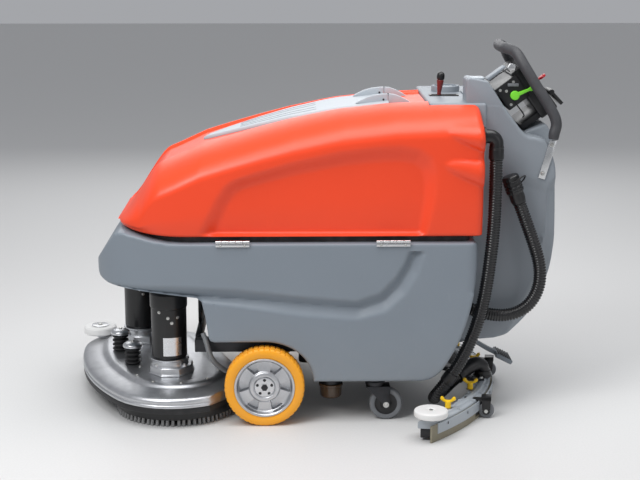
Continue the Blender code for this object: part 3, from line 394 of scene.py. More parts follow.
def metal(name, colour, rough=(0.28, 0.42), grain=900.0, bump=0.08, stretch=(1.0, 1.0, 1.0), grime=0.0):
    """Bare or painted metal with a directional or cast grain and darker grime in patches."""
    n = Nodes(name)
    lines = n.noise(grain, 3.0, n.stretched(stretch))
    base = n.mixed(lines, shade(colour, 0.88), shade(colour, 1.08))
    stain = n.ramp(n.noise(22.0, 6.0), [(0.48, (0, 0, 0)), (0.70, (1, 1, 1))])
    base = n.mixed(n.ranged(stain, 0.0, grime), base, shade(colour, 0.25))
    n.feed(n.shader.inputs["Base Color"], base)
    n.shader.inputs["Metallic"].default_value = 1.0
    n.feed(n.shader.inputs["Roughness"], n.ranged(n.noise(60.0, 4.0), *rough))
    n.bumped(lines, bump, 0.0005)
    return n.material


def rubber(name, colour, rough=(0.50, 0.68), grain=260.0, bump=0.14, wear=0.25):
    """Rubber or polyurethane: matt, with fine pits and a paler bloom of wear and dust."""
    n = Nodes(name)
    bloom = n.ramp(n.noise(34.0, 7.0), [(0.42, (0, 0, 0)), (0.72, (1, 1, 1))])
    worn = tuple(0.55 * c + 0.45 * 0.30 for c in colour)
    base = n.mixed(n.ranged(bloom, 0.0, wear), colour, worn)
    n.feed(n.shader.inputs["Base Color"], base)
    n.feed(n.shader.inputs["Roughness"], n.ranged(n.noise(48.0, 4.0), *rough))
    n.bumped(n.noise(grain, 4.0), bump, 0.0006)
    return n.material


def smoked_plastic(name):
    """A see-into brown bowl."""
    n = Nodes(name)
    streak = n.noise(60.0, 4.0, n.stretched((1.0, 1.0, 0.2)))
    n.feed(n.shader.inputs["Base Color"], n.mixed(streak, (0.06, 0.034, 0.018), (0.13, 0.075, 0.038)))
    n.feed(n.shader.inputs["Roughness"], n.ranged(n.noise(30.0), 0.10, 0.24))
    n.shader.inputs["Coat Weight"].default_value = 0.6
    n.bumped(n.noise(120.0), 0.06, 0.0005)
    return n.material


def floor_material():
    n = Nodes("floor")
    speck = n.noise(160.0, 6.0)
    n.feed(n.shader.inputs["Base Color"], n.mixed(speck, (0.62, 0.62, 0.615), (0.70, 0.70, 0.695)))
    n.shader.inputs["Roughness"].default_value = 0.55
    return n.material


def make_materials():
    cast = (0.60, 0.61, 0.63)
    return {
        "red": plastic("red_plastic", (0.86, 0.060, 0.012), (0.33, 0.43), 300.0, 0.16, 0.04),
        "grey": plastic("grey_plastic", (0.198, 0.230, 0.265), (0.40, 0.52), 300.0, 0.16, 0.05, 0.30),
        "column_grey": plastic("column_grey", (0.235, 0.262, 0.292), (0.42, 0.54), 300.0, 0.16, 0.05),
        "slot_grey": plastic("slot_grey", (0.17, 0.20, 0.23), (0.45, 0.58), 380.0, 0.12, 0.04),
        "light_grey": plastic("light_grey_plastic", (0.39, 0.425, 0.46), (0.40, 0.50), 380.0, 0.12, 0.04),
        "black": plastic("black_plastic", (0.008, 0.008, 0.009), (0.26, 0.40), 480.0, 0.12, 0.20),
        "gasket": rubber("gasket_black", (0.020, 0.020, 0.022), (0.6, 0.75)),
        "hose": rubber("hose_black", (0.008, 0.008, 0.009), (0.18, 0.30), 300.0, 0.06, 0.05),
        "grip": rubber("grip_dark", (0.040, 0.041, 0.046), (0.46, 0.60), 900.0, 0.25, 0.12),
        "rubber": rubber("black_rubber", (0.010, 0.010, 0.011), (0.40, 0.56), 240.0, 0.16, 0.06),
        "dark_steel": metal("powder_coat", (0.055, 0.056, 0.060), (0.38, 0.52), 500.0, 0.12, grime=0.3),
        "cast": metal("cast_aluminium", cast, (0.30, 0.46), 380.0, 0.22, grime=0.18),
        "turned": metal("turned_aluminium", (0.68, 0.69, 0.71), (0.22, 0.36), 700.0, 0.10, (1, 1, 0.1), 0.08),
        "steel": metal("stainless_steel", (0.68, 0.69, 0.70), (0.18, 0.32), 800.0, 0.10, (0.08, 1, 1), 0.05),
        "zinc": metal("zinc_bolt", (0.62, 0.62, 0.60), (0.24, 0.38), 900.0, 0.08, grime=0.2),
        "tyre": rubber("orange_tyre", (0.90, 0.375, 0.012), (0.36, 0.50), 300.0, 0.10, 0.12),
        "grey_tyre": rubber("grey_tyre", (0.150, 0.158, 0.170), (0.42, 0.56), 300.0, 0.12, 0.25),
        "white": plastic("white_nylon", (0.80, 0.80, 0.79), (0.34, 0.48), 500.0, 0.10, 0.03, 0.25),
        "yellow": plastic("yellow_plastic", (0.92, 0.58, 0.010), (0.26, 0.38), 500.0, 0.10, 0.04),
        "tan": rubber("tan_rubber", (0.24, 0.215, 0.15), (0.50, 0.64), 200.0, 0.12, 0.30),
        "bristle": rubber("bristle_nylon", (0.22, 0.22, 0.22), (0.50, 0.66), 900.0, 0.30, 0.40),
        "bowl": smoked_plastic("smoked_bowl"),
        "green": plastic("green_plastic", (0.20, 0.72, 0.04), (0.24, 0.36), 500.0, 0.08, 0.04),
        "lever_red": plastic("lever_red", (0.16, 0.014, 0.012), (0.22, 0.34), 500.0, 0.08, 0.06),
        "key_red": plastic("key_red", (0.45, 0.012, 0.020), (0.26, 0.38), 500.0, 0.08, 0.04),
        "label": metal("blank_label", (0.74, 0.75, 0.77), (0.22, 0.34), 300.0, 0.04),
        "battery": plastic("battery_case", (0.030, 0.032, 0.036), (0.40, 0.55), 300.0, 0.20, 0.10),
        "water_hose": plastic("water_hose_grey", (0.20, 0.21, 0.22), (0.30, 0.42), 300.0, 0.10, 0.05),
    }


# --- mesh tools -----------------------------------------------------------------------------------
PLACES = {
    "X": lambda u, v, w: (w, u, v),
    "Y": lambda u, v, w: (u, w, v),
    "Z": lambda u, v, w: (u, v, w),
}


def bake(bm, name="shape"):
    bmesh.ops.recalc_face_normals(bm, faces=bm.faces)
    mesh = bpy.data.meshes.new(name)
    bm.to_mesh(mesh)
    bm.free()
    obj = bpy.data.objects.new(name, mesh)
    bpy.context.scene.collection.objects.link(obj)
    return obj


def skin(bm, rings, caps=True, around=False):
    """Bridges rings of vertices, closing the ends or joining the last ring to the first."""
    pairs = list(zip(rings, rings[1:]))
    if around:
        pairs.append((rings[-1], rings[0]))
    count = len(rings[0])
    for first, second in pairs:
        for i in range(count):
            j = (i + 1) % count
            bm.faces.new((first[i], first[j], second[j], second[i]))
    if caps and not around:
        bm.faces.new(rings[0])
        bm.faces.new(rings[-1])


def loft(rings, around=False):
    bm = bmesh.new()
    skin(bm, [[bm.verts.new(p) for p in ring] for ring in rings], around=around)
    return bake(bm)


def prism(outline, low, high, axis="Y"):
    place = PLACES[axis]
    return loft([[place(u, v, w) for u, v in outline] for w in (low, high)])


def block(low, high):
    (x0, y0, z0), (x1, y1, z1) = low, high
    return prism([(x0, y0), (x1, y0), (x1, y1), (x0, y1)], z0, z1, "Z")


def arc(centre, radius, start, end, count):
    angles = [math.radians(start + (end - start) * i / (count - 1)) for i in range(count)]
    return [(centre[0] + radius * math.cos(a), centre[1] + radius * math.sin(a)) for a in angles]


def filleted(points, radius, steps=4, closed=False):
    """A polyline with its corners rounded."""
    points = [Vector(p) for p in points]
    count = len(points)
    made = []
    for i, point in enumerate(points):
        if not closed and i in (0, count - 1):
            made.append(tuple(point))
            continue
        back, ahead = points[i - 1] - point, points[(i + 1) % count] - point
        reach = min(radius, 0.45 * back.length, 0.45 * ahead.length)
        start, end = point + reach * back.normalized(), point + reach * ahead.normalized()
        for k in range(steps + 1):
            t = k / steps
            made.append(tuple((1 - t) ** 2 * start + 2 * t * (1 - t) * point + t * t * end))
    return made


def through(points, count):
    """Points at even steps of a smooth curve through the given points."""
    points = [Vector(p) for p in points]
    ends = [2 * points[0] - points[1], *points, 2 * points[-1] - points[-2]]
    dense = []
    for i in range(1, len(ends) - 2):
        before, here, after, last = ends[i - 1:i + 3]
        for k in range(12):
            t = k / 12
            square = 2 * before - 5 * here + 4 * after - last
            cube = 3 * here - before - 3 * after + last
            dense.append(0.5 * (2 * here + (after - before) * t + square * t**2 + cube * t**3))
    dense.append(points[-1])
    steps = np.array([(b - a).length for a, b in zip(dense, dense[1:])])
    places = np.concatenate([[0.0], np.cumsum(steps)])
    wanted = np.linspace(0.0, places[-1], count)
    axes = [np.interp(wanted, places, [p[k] for p in dense]) for k in range(len(points[0]))]
    return [Vector(p) for p in zip(*axes)]


def turned(profile, steps=48, closed=False, radius_at=None):
    """A profile of (radius, height) turned about Z, on the axis at its ends or a closed ring."""
    bm = bmesh.new()
    rings = []
    for index, (radius, height) in enumerate(profile):
        if radius < 1e-6:
            rings.append([bm.verts.new((0.0, 0.0, height))])
            continue
        ring = []
        for i in range(steps):
            angle = 2 * math.pi * i / steps
            size = radius if radius_at is None else radius_at(index, i, radius)
            ring.append(bm.verts.new((size * math.cos(angle), size * math.sin(angle), height)))
        rings.append(ring)
    pairs = list(zip(rings, rings[1:]))
    if closed:
        pairs.append((rings[-1], rings[0]))
    for first, second in pairs:
        for i in range(steps):
            j = (i + 1) % steps
            if len(first) == 1:
                bm.faces.new((first[0], second[i], second[j]))
            elif len(second) == 1:
                bm.faces.new((first[i], second[0], first[j]))
            else:
                bm.faces.new((first[i], second[i], second[j], first[j]))
    return bake(bm)


def disc(radius, low, high, steps=40, edge=0.0):
    """A round block about Z with rounded rims."""
    profile = [(0.0, low), (radius, low), (radius, high), (0.0, high)]
    return turned(filleted(profile, edge, 3) if edge else profile, steps)


def frames_along(points):
    """A steady pair of sideways directions at each point of a line."""
    normal = None
    for i, point in enumerate(points):
        ahead = (points[min(i + 1, len(points) - 1)] - points[max(i - 1, 0)]).normalized()
        if normal is None:
            normal = ahead.orthogonal().normalized()
        normal = (normal - normal.dot(ahead) * ahead).normalized()
        yield point, normal, ahead.cross(normal)


def tube(points, radius, sides=20):
    """A round bar along points. The radius is one number, or one for each point."""
    points = [Vector(p) for p in points]
    sizes = radius if isinstance(radius, (list, tuple)) else [radius] * len(points)
    turn = [2 * math.pi * k / sides for k in range(sides)]
    rings = []
    for (point, side, up), size in zip(frames_along(points), sizes):
        rings.append([point + size * (math.cos(a) * side + math.sin(a) * up) for a in turn])
    return loft(rings)


def moved(obj, place=(0.0, 0.0, 0.0), axis="Z", turn_z=0.0):
    lay = {
        "X": Matrix.Rotation(math.pi / 2, 4, "Y"),
        "Y": Matrix.Rotation(-math.pi / 2, 4, "X"),
        "Z": Matrix(),
    }
    obj.data.transform(Matrix.Translation(place) @ Matrix.Rotation(turn_z, 4, "Z") @ lay[axis])
    return obj


def along(obj, start, end):
    """Lays a shape made about Z from start towards end."""
    start, end = Vector(start), Vector(end)
    turn = (end - start).to_track_quat("Z", "Y").to_matrix().to_4x4()
    obj.data.transform(Matrix.Translation(start) @ turn)
    return obj


def combined(target, tool, operation, solver="MANIFOLD"):
    before = len(target.data.polygons)
    modifier = target.modifiers.new("combine", "BOOLEAN")
    modifier.operation = operation
    modifier.object = tool
    modifier.solver = solver
    graph = bpy.context.evaluated_depsgraph_get()
    mesh = bpy.data.meshes.new_from_object(target.evaluated_get(graph))
    target.modifiers.clear()
    if solver == "MANIFOLD" and len(mesh.polygons) in (0, before):
        bpy.data.meshes.remove(mesh)
        return combined(target, tool, operation, "EXACT")
    target.data = mesh
    bpy.data.objects.remove(tool, do_unlink=True)
    return target


def cut(target, *tools):
    for tool in tools:
        combined(target, tool, "DIFFERENCE")
    return target


def joined(target, *tools):
    for tool in tools:
        combined(target, tool, "UNION")
    return target


def grouped(shapes):
    """Several separate shapes as one object, without joining their surfaces."""
    bm = bmesh.new()
    for shape in shapes:
        bm.from_mesh(shape.data)
        bpy.data.objects.remove(shape, do_unlink=True)
    return bake(bm)


def softened(obj, width, segments=2, angle=40.0):
    """Small rounded edges."""
    modifier = obj.modifiers.new("edges", "BEVEL")
    modifier.width = width
    modifier.segments = segments
    modifier.limit_method = "ANGLE"
    modifier.angle_limit = math.radians(angle)
    modifier.harden_normals = False
    graph = bpy.context.evaluated_depsgraph_get()
    mesh = bpy.data.meshes.new_from_object(obj.evaluated_get(graph))
    obj.modifiers.clear()
    obj.data = mesh
    return obj


def placed(obj, name, material, body, slot, where=STRAIGHT, sharp=40.0, stands_for=()):
    """Finishes a piece: puts it in the row frame, names it, and rides it on its body."""
    obj.data.transform(where)
    obj.name = name
    obj.data.name = name
    obj.data.materials.clear()
    obj.data.materials.append(MATERIALS[material])
    if obj.type == "MESH":
        obj.data.shade_smooth()
        obj.data.set_sharp_from_angle(angle=math.radians(sharp))
    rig.ride(obj, body)
    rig.slot(obj, slot)
    if stands_for:
        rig.replaces(obj, *([stands_for] if isinstance(stands_for, str) else stands_for))
    return obj


# --- outlines and height fields that shells share -------------------------------------------------
def to_line(points, line):
    """Distance from each of many (x, z) points to a polyline."""
    best = np.full(len(points), 1e9)
    for a, b in zip(line, line[1:]):
        a, b = np.array(a), np.array(b)
        run = b - a
        share = np.clip(((points - a) @ run) / max(run @ run, 1e-12), 0.0, 1.0)
        best = np.minimum(best, np.linalg.norm(points - a - share[:, None] * run, axis=1))
    return best


def inside(points, ring):
    """Which of many (x, z) points lie inside a closed outline."""
    found = np.zeros(len(points), bool)
    x, z = points[:, 0], points[:, 1]
    for (x0, z0), (x1, z1) in zip(ring, ring[1:] + ring[:1]):
        if z0 == z1:
            continue
        crosses = (z0 > z) != (z1 > z)
        found ^= crosses & (x < (x1 - x0) * (z - z0) / (z1 - z0) + x0)
    return found


def flat_curve(points, count):
    return [(p.x, p.y) for p in through([Vector((*p, 0.0)) for p in points], count)]


def slab(outline, half, fillet, cell, segments=3):
    """A side outline (x, z) made into a solid from -half to half, with rounded rims and an even grid."""
    bm = bmesh.new()
    near = [bm.verts.new((x, -half, z)) for x, z in outline]
    far = [bm.verts.new((x, half, z)) for x, z in outline]
    skin(bm, [near, far])
    bmesh.ops.recalc_face_normals(bm, faces=bm.faces)
    if fillet:
        rim = [e for e in bm.edges if e.verts[0].co.y * e.verts[1].co.y > 0]
        bmesh.ops.bevel(bm, geom=rim, offset=fillet, segments=segments, profile=0.5, affect="EDGES")
    xs, zs = [p[0] for p in outline], [p[1] for p in outline]
    for low, high, normal in ((min(xs), max(xs), (1, 0, 0)), (min(zs), max(zs), (0, 0, 1))):
        count = int((high - low) / cell)
        for k in range(1, count):
            at = low + (high - low) * k / count + 0.13e-3
            point = tuple(at * c for c in normal)
            geom = bm.verts[:] + bm.edges[:] + bm.faces[:]
            bmesh.ops.bisect_plane(bm, geom=geom, plane_co=point, plane_no=normal, dist=1e-6)
    return bake(bm)


def reshape(obj, change):
    """Runs a function over all of a mesh's points at once."""
    count = len(obj.data.vertices)
    points = np.zeros(count * 3)
    obj.data.vertices.foreach_get("co", points)
    points = change(points.reshape(-1, 3))
    obj.data.vertices.foreach_set("co", np.ascontiguousarray(points).ravel())
    obj.data.update()
    return obj


def nose_half(x, nose_x, half, power=4.0):
    """Half width of a body whose nose is rounded seen from above."""
    share = np.clip((NOSE_START_X - x) / (NOSE_START_X - nose_x), 0.0, 1.0)
    return half * (1.0 - share**power) ** (1.0 / power)


# --- solution tank --------------------------------------------------------------------------------
GROOVE_UPPER = [(-0.60, 0.431), (-0.376, 0.427), (-0.203, 0.418), (-0.029, 0.397), (0.145, 0.382),
                (0.215, 0.406), (0.262, 0.456), (0.286, 0.497), (0.297, 0.528)]
GROOVE_CREASE = [(-0.60, 0.400), (-0.325, 0.394), (-0.080, 0.375), (0.050, 0.362), (0.156, 0.356),
                 (0.226, 0.382), (0.270, 0.428), (0.300, 0.482), (0.318, 0.528)]
GROOVE_LOWER = [(-0.60, 0.372), (-0.308, 0.380), (-0.204, 0.366), (-0.029, 0.338), (0.146, 0.323),
                (0.233, 0.345), (0.292, 0.399), (0.330, 0.465), (0.349, 0.528)]
GROOVE_DEPTH = 0.021


def body_side():
    """Side outline of the solution tank."""
    nose = [(-0.360, BODY_TOP), (-0.410, 0.558), (-0.460, 0.566), (-0.510, 0.579), (-0.545, 0.586),
            (-0.562, 0.585), (-0.574, 0.578), (-0.603, 0.537), (-0.630, 0.497), (-0.643, 0.475),
            (NOSE_X, 0.462), (-0.643, 0.449), (-0.630, 0.436), (-0.600, 0.426), (-0.538, 0.417),
            (-0.330, 0.391), (-0.316, 0.380), (-0.305, 0.330), (-0.296, 0.267), (-0.291, 0.258),
            (-0.280, 0.254)]
    arch = [(AXLE_X + 0.147 * math.cos(a), BODY_BASE + 0.124 * math.sin(a))
            for a in (math.radians(90 - 4.5 * k) for k in range(21))]
    rear = flat_curve([(0.340, BODY_BASE), (0.364, 0.134), (0.387, 0.146), (0.407, 0.166), (0.430, 0.203),
                       (0.452, 0.245), (0.476, 0.310), (0.496, 0.395), (REAR_X - 0.001, 0.470),
                       (REAR_X, 0.520)], 40)
    return nose + arch + rear + [(0.506, 0.540), (0.501, 0.552), (0.492, BODY_TOP)]


def shape_body(points):
    x, y, z = points.T
    flat = np.column_stack([x, z])
    ring = GROOVE_UPPER + GROOVE_LOWER[::-1]
    within = inside(flat, ring) & (np.abs(y) > BODY_HALF - 0.004) & (z < 0.5278)
    upper, lower = to_line(flat, GROOVE_UPPER), to_line(flat, GROOVE_LOWER)
    crease = to_line(flat, GROOVE_CREASE)
    over = inside(flat, GROOVE_UPPER + GROOVE_CREASE[::-1])
    rim = np.where(over, upper, lower)
    share = rim / np.maximum(rim + crease, 1e-6)
    share = np.clip(share, 0.0, 1.0)
    share = np.where(share > 0.9, 0.9 + 0.06 * (1 - ((1 - share) / 0.1) ** 2), share)
    y = y - np.sign(y) * np.where(within, GROOVE_DEPTH * share, 0.0)
    corner = np.clip(x - (REAR_X - 0.034), 0.0, 0.034) / 0.034
    half = BODY_HALF - 0.034 * (1 - np.sqrt(1 - corner**2)) * (z > 0.40)
    scale = np.minimum(nose_half(x, NOSE_X, BODY_HALF), half) / BODY_HALF
    scale = np.maximum(scale, 0.30)
    return np.column_stack([x, y * scale, z])


def solution_tank():
    body = reshape(slab(body_side(), BODY_HALF, 0.0085, 0.0058), shape_body)
    well = softened(block((-0.300, -0.190, 0.282), (0.290, 0.190, 0.700)), 0.012, 3)
    under = softened(block((-0.105, -BODY_HALF + 0.015, 0.05), (0.330, BODY_HALF - 0.015, 0.2555)), 0.010, 3)
    cut(body, well, under)
    for side in SIDES:
        pocket = disc(MOTOR_POCKET_RADIUS, 0.30, MOTOR_POCKET_TOP, 64)
        cut(body, moved(pocket, (BRUSH_X[side] + MOTOR_OFFSET_X, BRUSH_Y[side], 0.0)))
    placed(body, "solution_tank_shell", "grey", "chassis", "grey_plastic", sharp=50.0,
           stands_for="solution_tank")
    xs = np.concatenate([[-0.515, -0.513, -0.508], np.linspace(-0.500, -0.300, 14)])
    near = [(x, -float(nose_half(x, -0.5155, BODY_HALF - 0.032))) for x in xs]
    near += arc((0.455, -BODY_HALF + 0.062), 0.030, -90, 0, 8)
    outline = near + [(x, -y) for x, y in reversed(near)]
    plinth = prism(outline, 0.5500, PLINTH_TOP - 0.0003, "Z")
    cut(plinth, block((-0.300, -0.190, 0.282), (0.290, 0.190, 0.700)))
    placed(softened(plinth, 0.003), "tank_gasket", "gasket", "chassis", "black_rubber")


# --- recovery tank --------------------------------------------------------------------------------
RIDGE_X = [-0.575, -0.568, -0.552, -0.533, -0.508, -0.483, -0.462, -0.450, -0.440, -0.400, -0.360, -0.320,
           -0.250, -0.150, -0.050, 0.050, 0.099, 0.250, 0.400, 0.519]
RIDGE_Z = [0.604, 0.610, 0.625, 0.650, 0.690, 0.728, 0.756, 0.768, 0.775, 0.792, 0.8105, 0.829,
           0.8505, 0.879, 0.905, 0.926, 0.935, 0.951, 0.957, 0.957]
RECESS_OUTER = [(-0.345, 0.540), (-0.322, 0.590), (-0.299, 0.642), (-0.275, 0.687), (-0.250, 0.725),
                (-0.222, 0.748), (-0.150, 0.771), (-0.049, 0.801), (0.092, 0.832), (0.198, 0.845),
                (0.280, 0.849), (0.335, 0.838), (0.370, 0.812), (0.385, 0.765), (0.379, 0.684),
                (0.357, 0.588), (0.347, 0.540)]
RECESS_INNER = [(-0.290, 0.540), (-0.268, 0.589), (-0.231, 0.669), (-0.213, 0.700), (-0.190, 0.716),
                (-0.130, 0.733), (-0.049, 0.754), (0.102, 0.784), (0.199, 0.794), (0.270, 0.796),
                (0.312, 0.790), (0.334, 0.770), (0.342, 0.730), (0.338, 0.669), (0.327, 0.588),
                (0.320, 0.540)]
CREST_HALF = 0.164  # the ridges lie this far from the middle
RECESS_DEPTH = 0.022
BUMPS = (((0.408, 0.889), (0.519, 0.866)), ((0.402, 0.789), (0.519, 0.762)))  # tip and root of each grip bump
BUMP_HEIGHT = 0.024
BUMP_HALF = 0.039
REAR_ROUND = 0.024


def ridge_height(x):
    return np.interp(x, RIDGE_X, RIDGE_Z)


def seam_height(x):
    """The recovery tank's underside, which climbs over the nose."""
    return PLINTH_TOP + 0.026 * (np.maximum(0.0, -0.360 - x) / 0.215) ** 2


def tank_valley(x):
    rise = ridge_height(x) - seam_height(x)
    return ridge_height(x) - np.minimum(TANK_VALLEY, 0.2 * rise)


def tank_half_ring(x):
    """Right half of the cross-section at x, from the underside's middle up to the valley's middle."""
    pull = max(0.0, x - (TANK_REAR_X - REAR_ROUND)) / REAR_ROUND
    inset = REAR_ROUND * (1.0 - math.sqrt(max(0.0, 1.0 - pull * pull)))
    half = max(float(nose_half(x, TANK_NOSE_X, TANK_HALF)), 0.52 * TANK_HALF) - inset
    base, top = float(seam_height(x)) + 0.0006, float(ridge_height(x)) - inset
    rise = top - base
    valley = float(tank_valley(x)) - inset
    crest = min(CREST_HALF, 0.75 * half)
    shoulder, reach = min(0.090, 0.75 * rise), half - crest
    foot = min(0.010, 0.2 * rise)
    points = [(half * t, base) for t in (0.0, 0.35, 0.65, 0.85)]
    points += [(half - 0.006 - foot + foot * math.sin(a), base + foot - foot * math.cos(a))
               for a in (math.radians(22.5 * k) for k in range(5))]
    side_low, side_high = base + foot, top - shoulder
    for k in range(1, 46):
        t = k / 46
        bulge = 0.006 * math.sin(0.5 * math.pi * min(1.0, 2.5 * t))
        points.append((half - 0.006 + bulge, side_low + (side_high - side_low) * t))
    for k in range(17):
        a = math.radians(90 * k / 16)
        points.append((crest + reach * math.cos(a) ** 1.4, side_high + shoulder * math.sin(a)))
    flat = min(VALLEY_HALF, crest - 0.012)
    for k in range(1, 8):
        t = k / 7
        points.append((crest + (flat - crest) * t, top + (valley - top) * t * t * (3 - 2 * t)))
    points += [(flat * (1 - k / 12), valley) for k in range(1, 13)]
    return points


def grip_bumps(x, z):
    """How far the rear edge's two grip bumps stand out."""
    found = np.zeros(len(x))
    for (tip_x, tip_z), (end_x, end_z) in BUMPS:
        run = np.clip((x - tip_x) / (end_x - tip_x), 0.0, 1.0)
        middle = tip_z + (end_z - tip_z) * run
        width = BUMP_HALF * np.sqrt(run) + 1e-6
        across = np.clip(1.0 - ((z - middle) / width) ** 2, 0.0, 1.0)
        found = np.maximum(found, BUMP_HEIGHT * run**0.7 * across**0.55)
    return found


def shape_tank(points):
    x, y, z = points.T
    flat = np.column_stack([x, z])
    outer, inner = to_line(flat, RECESS_OUTER), to_line(flat, RECESS_INNER)
    share = np.where(inside(flat, RECESS_INNER), 1.0, outer / np.maximum(outer + inner, 1e-6))
    share = np.where(inside(flat, RECESS_OUTER), share, 0.0)
    share = 0.25 * share + 0.75 * share * share * (3 - 2 * share)
    on_side = np.clip((np.abs(y) - 0.250) / 0.060, 0.0, 1.0) * np.clip((z - PLINTH_TOP - 0.002) / 0.010,
                                                                       0.0, 1.0)
    pull = RECESS_DEPTH * share * on_side
    push = np.where((y < -0.22) & (x > 0.39), grip_bumps(x, z), 0.0)
    return np.column_stack([x, y - np.sign(y) * (pull - push), z])


def recovery_tank():
    fine = TANK_NOSE_X + 0.030 * (1 - np.cos(np.linspace(0.0, 0.5 * math.pi, 9)))
    rear = TANK_REAR_X - REAR_ROUND + REAR_ROUND * np.sin(np.linspace(0.0, 0.5 * math.pi, 9))
    stations = np.concatenate([fine[:-1], np.linspace(fine[-1], rear[0], 176)[:-1], rear])
    rings = []
    for x in stations:
        right = tank_half_ring(float(x))
        ring = right + [(-y, z) for y, z in reversed(right[1:-1])]
        rings.append([(float(x), y, z) for y, z in ring])
    tank = reshape(loft(rings), shape_tank)
    notch = block((NOTCH_X, NOTCH_Y, 0.4), (0.6, 0.5, 1.1))
    hollow = softened(block((-0.350, -0.250, 0.620), (0.330, 0.250, 0.785)), 0.02, 3)
    mouth = softened(block((-0.055, -0.110, 0.700), (0.215, 0.110, 1.1)), 0.02, 3)
    cut(tank, notch, hollow, mouth)
    placed(tank, "recovery_tank_shell", "red", "recovery_tank", "red_plastic", sharp=48.0,
           stands_for="recovery_tank")


# --- lid ------------------------------------------------------------------------------------------
RIB_FRONT = [(0.149, 0.943), (0.163, 0.9515), (0.185, 0.9620), (0.208, 0.9685), (0.230, 0.9715),
             (0.2490, 0.9725), (0.2490, 0.9478), (0.215, 0.9448)]
RIB_REAR = [(0.2502, 0.930), (0.2502, 0.9725), (0.268, 0.9705), (0.288, 0.9635), (0.308, 0.9535),
            (0.324, 0.942), (0.334, 0.930)]
RIB_Y = (-0.108, 0.092)
RIB_WIDTH = 0.016
LID_SLOTS = (-0.62, -0.24, 0.24, 0.62)  # where the grooves lie, as shares of the lid's half width


def lid_half(x):
    share = min(1.0, max(0.0, (x - LID_TIP_X) / 0.46))
    return 0.012 + 0.128 * math.sin(0.5 * math.pi * share) ** 0.85


def recovery_lid():
    rings = []
    front = LID_TIP_X + 0.020 * (1 - np.cos(np.linspace(0.0, 0.5 * math.pi, 7)))
    for x in np.concatenate([front[:-1], np.linspace(front[-1], LID_HINGE_X, 90)]):
        nose = min(1.0, math.sqrt(max(0.0, (x - LID_TIP_X) / 0.020)))
        half, low = lid_half(x) - 0.010 * (1 - nose), float(tank_valley(x)) + 0.0004
        crown = 0.0115 * (0.45 + 0.55 * nose)
        ring = [(half * t, low) for t in np.linspace(-1.0, 1.0, 9)]
        ring += [(half, low + 0.5 * crown), (half - 0.0015, low + 0.70 * crown)]
        top = half - 0.004
        ring += [(top * t, low + crown - 0.10 * crown * t * t) for t in np.linspace(1.0, -1.0, 25)]
        ring += [(-half + 0.0015, low + 0.70 * crown), (-half, low + 0.5 * crown)]
        rings.append([(float(x), y, z) for y, z in ring])
    lid = loft(rings)
    for y in RIB_Y:
        joined(lid, softened(prism(RIB_FRONT, y, y + RIB_WIDTH, "Y"), 0.0018))
    placed(lid, "recovery_lid_leaf", "light_grey", "recovery_lid", "light_grey_plastic",
           stands_for="recovery_lid")
    for index, y in enumerate(LID_SLOTS):
        strip = []
        for x in np.linspace(-0.205, 0.030, 48):
            half, middle = lid_half(x), y * lid_half(x)
            high = float(tank_valley(x)) + 0.0004 + 0.0115 * (1.0 - 0.10 * (middle / (half - 0.004)) ** 2)
            strip.append([(float(x), middle + v, high + w)
                          for v,
                          w in ((-0.0042, -0.002), (0.0042, -0.002), (0.0034, 0.0006), (-0.0034, 0.0006))])
        placed(loft(strip), f"lid_slot_{index}", "slot_grey", "recovery_lid", "light_grey_plastic")
    for index, y in enumerate(RIB_Y):
        dot = moved(disc(0.0032, -0.0006, RIB_WIDTH + 0.0006, 20), (0.235, y, 0.955), "Y")
        placed(dot, f"lid_rib_pin_{index}", "black", "recovery_lid", "black_plastic")
        rear = softened(prism(RIB_REAR, y, y + RIB_WIDTH, "Y"), 0.0018)
        placed(rear, f"lid_rib_rear_{index}", "light_grey", "recovery_tank", "light_grey_plastic")
        pin = moved(disc(0.0035, -0.0030, 0.0030, 18), (0.2497, y + 0.5 * RIB_WIDTH, 0.9700), "Y")
        placed(pin, f"lid_hinge_pin_{index}", "dark_steel", "recovery_tank", "dark_steel")


# --- control column -------------------------------------------------------------------------------
POST_SIDE = [(0.477, 0.900), (0.477, 1.024), (0.486, 1.030), (0.542, 1.019), (0.586, 0.952), (0.600, 0.900)]


def column_side():
    front_x = TANK_REAR_X + 0.004
    rear = flat_curve([(0.580, 0.2222), (0.621, 0.236), (0.668, 0.274), (0.705, 0.325), (0.744, 0.422),
                       (0.758, 0.500), (0.761, 0.575), (0.755, 0.742), (0.745, 0.790)], 60)
    low = [(0.4300, 0.2185), (0.534, 0.2185)]
    top = flat_curve([(0.745, 0.790), (0.726, 0.836), (0.700, 0.848), (0.665, 0.856), (0.642, 0.877)], 14)[1:]
    high = [(0.586, 0.952), (0.575, SHELF_Z), (front_x, SHELF_Z), (front_x, 0.5640), (0.4300, 0.5640)]
    return low + rear + top + high


COLUMN_FOLD = [(0.500, 0.180), (0.620, 0.235), (0.700, 0.420), (0.724, 0.560), (0.727, 0.700), (0.740, 0.760)]
LOWER_FOLD = [(0.606, 0.720), (0.655, 0.735), (0.700, 0.722), (0.727, 0.712), (0.760, 0.730)]


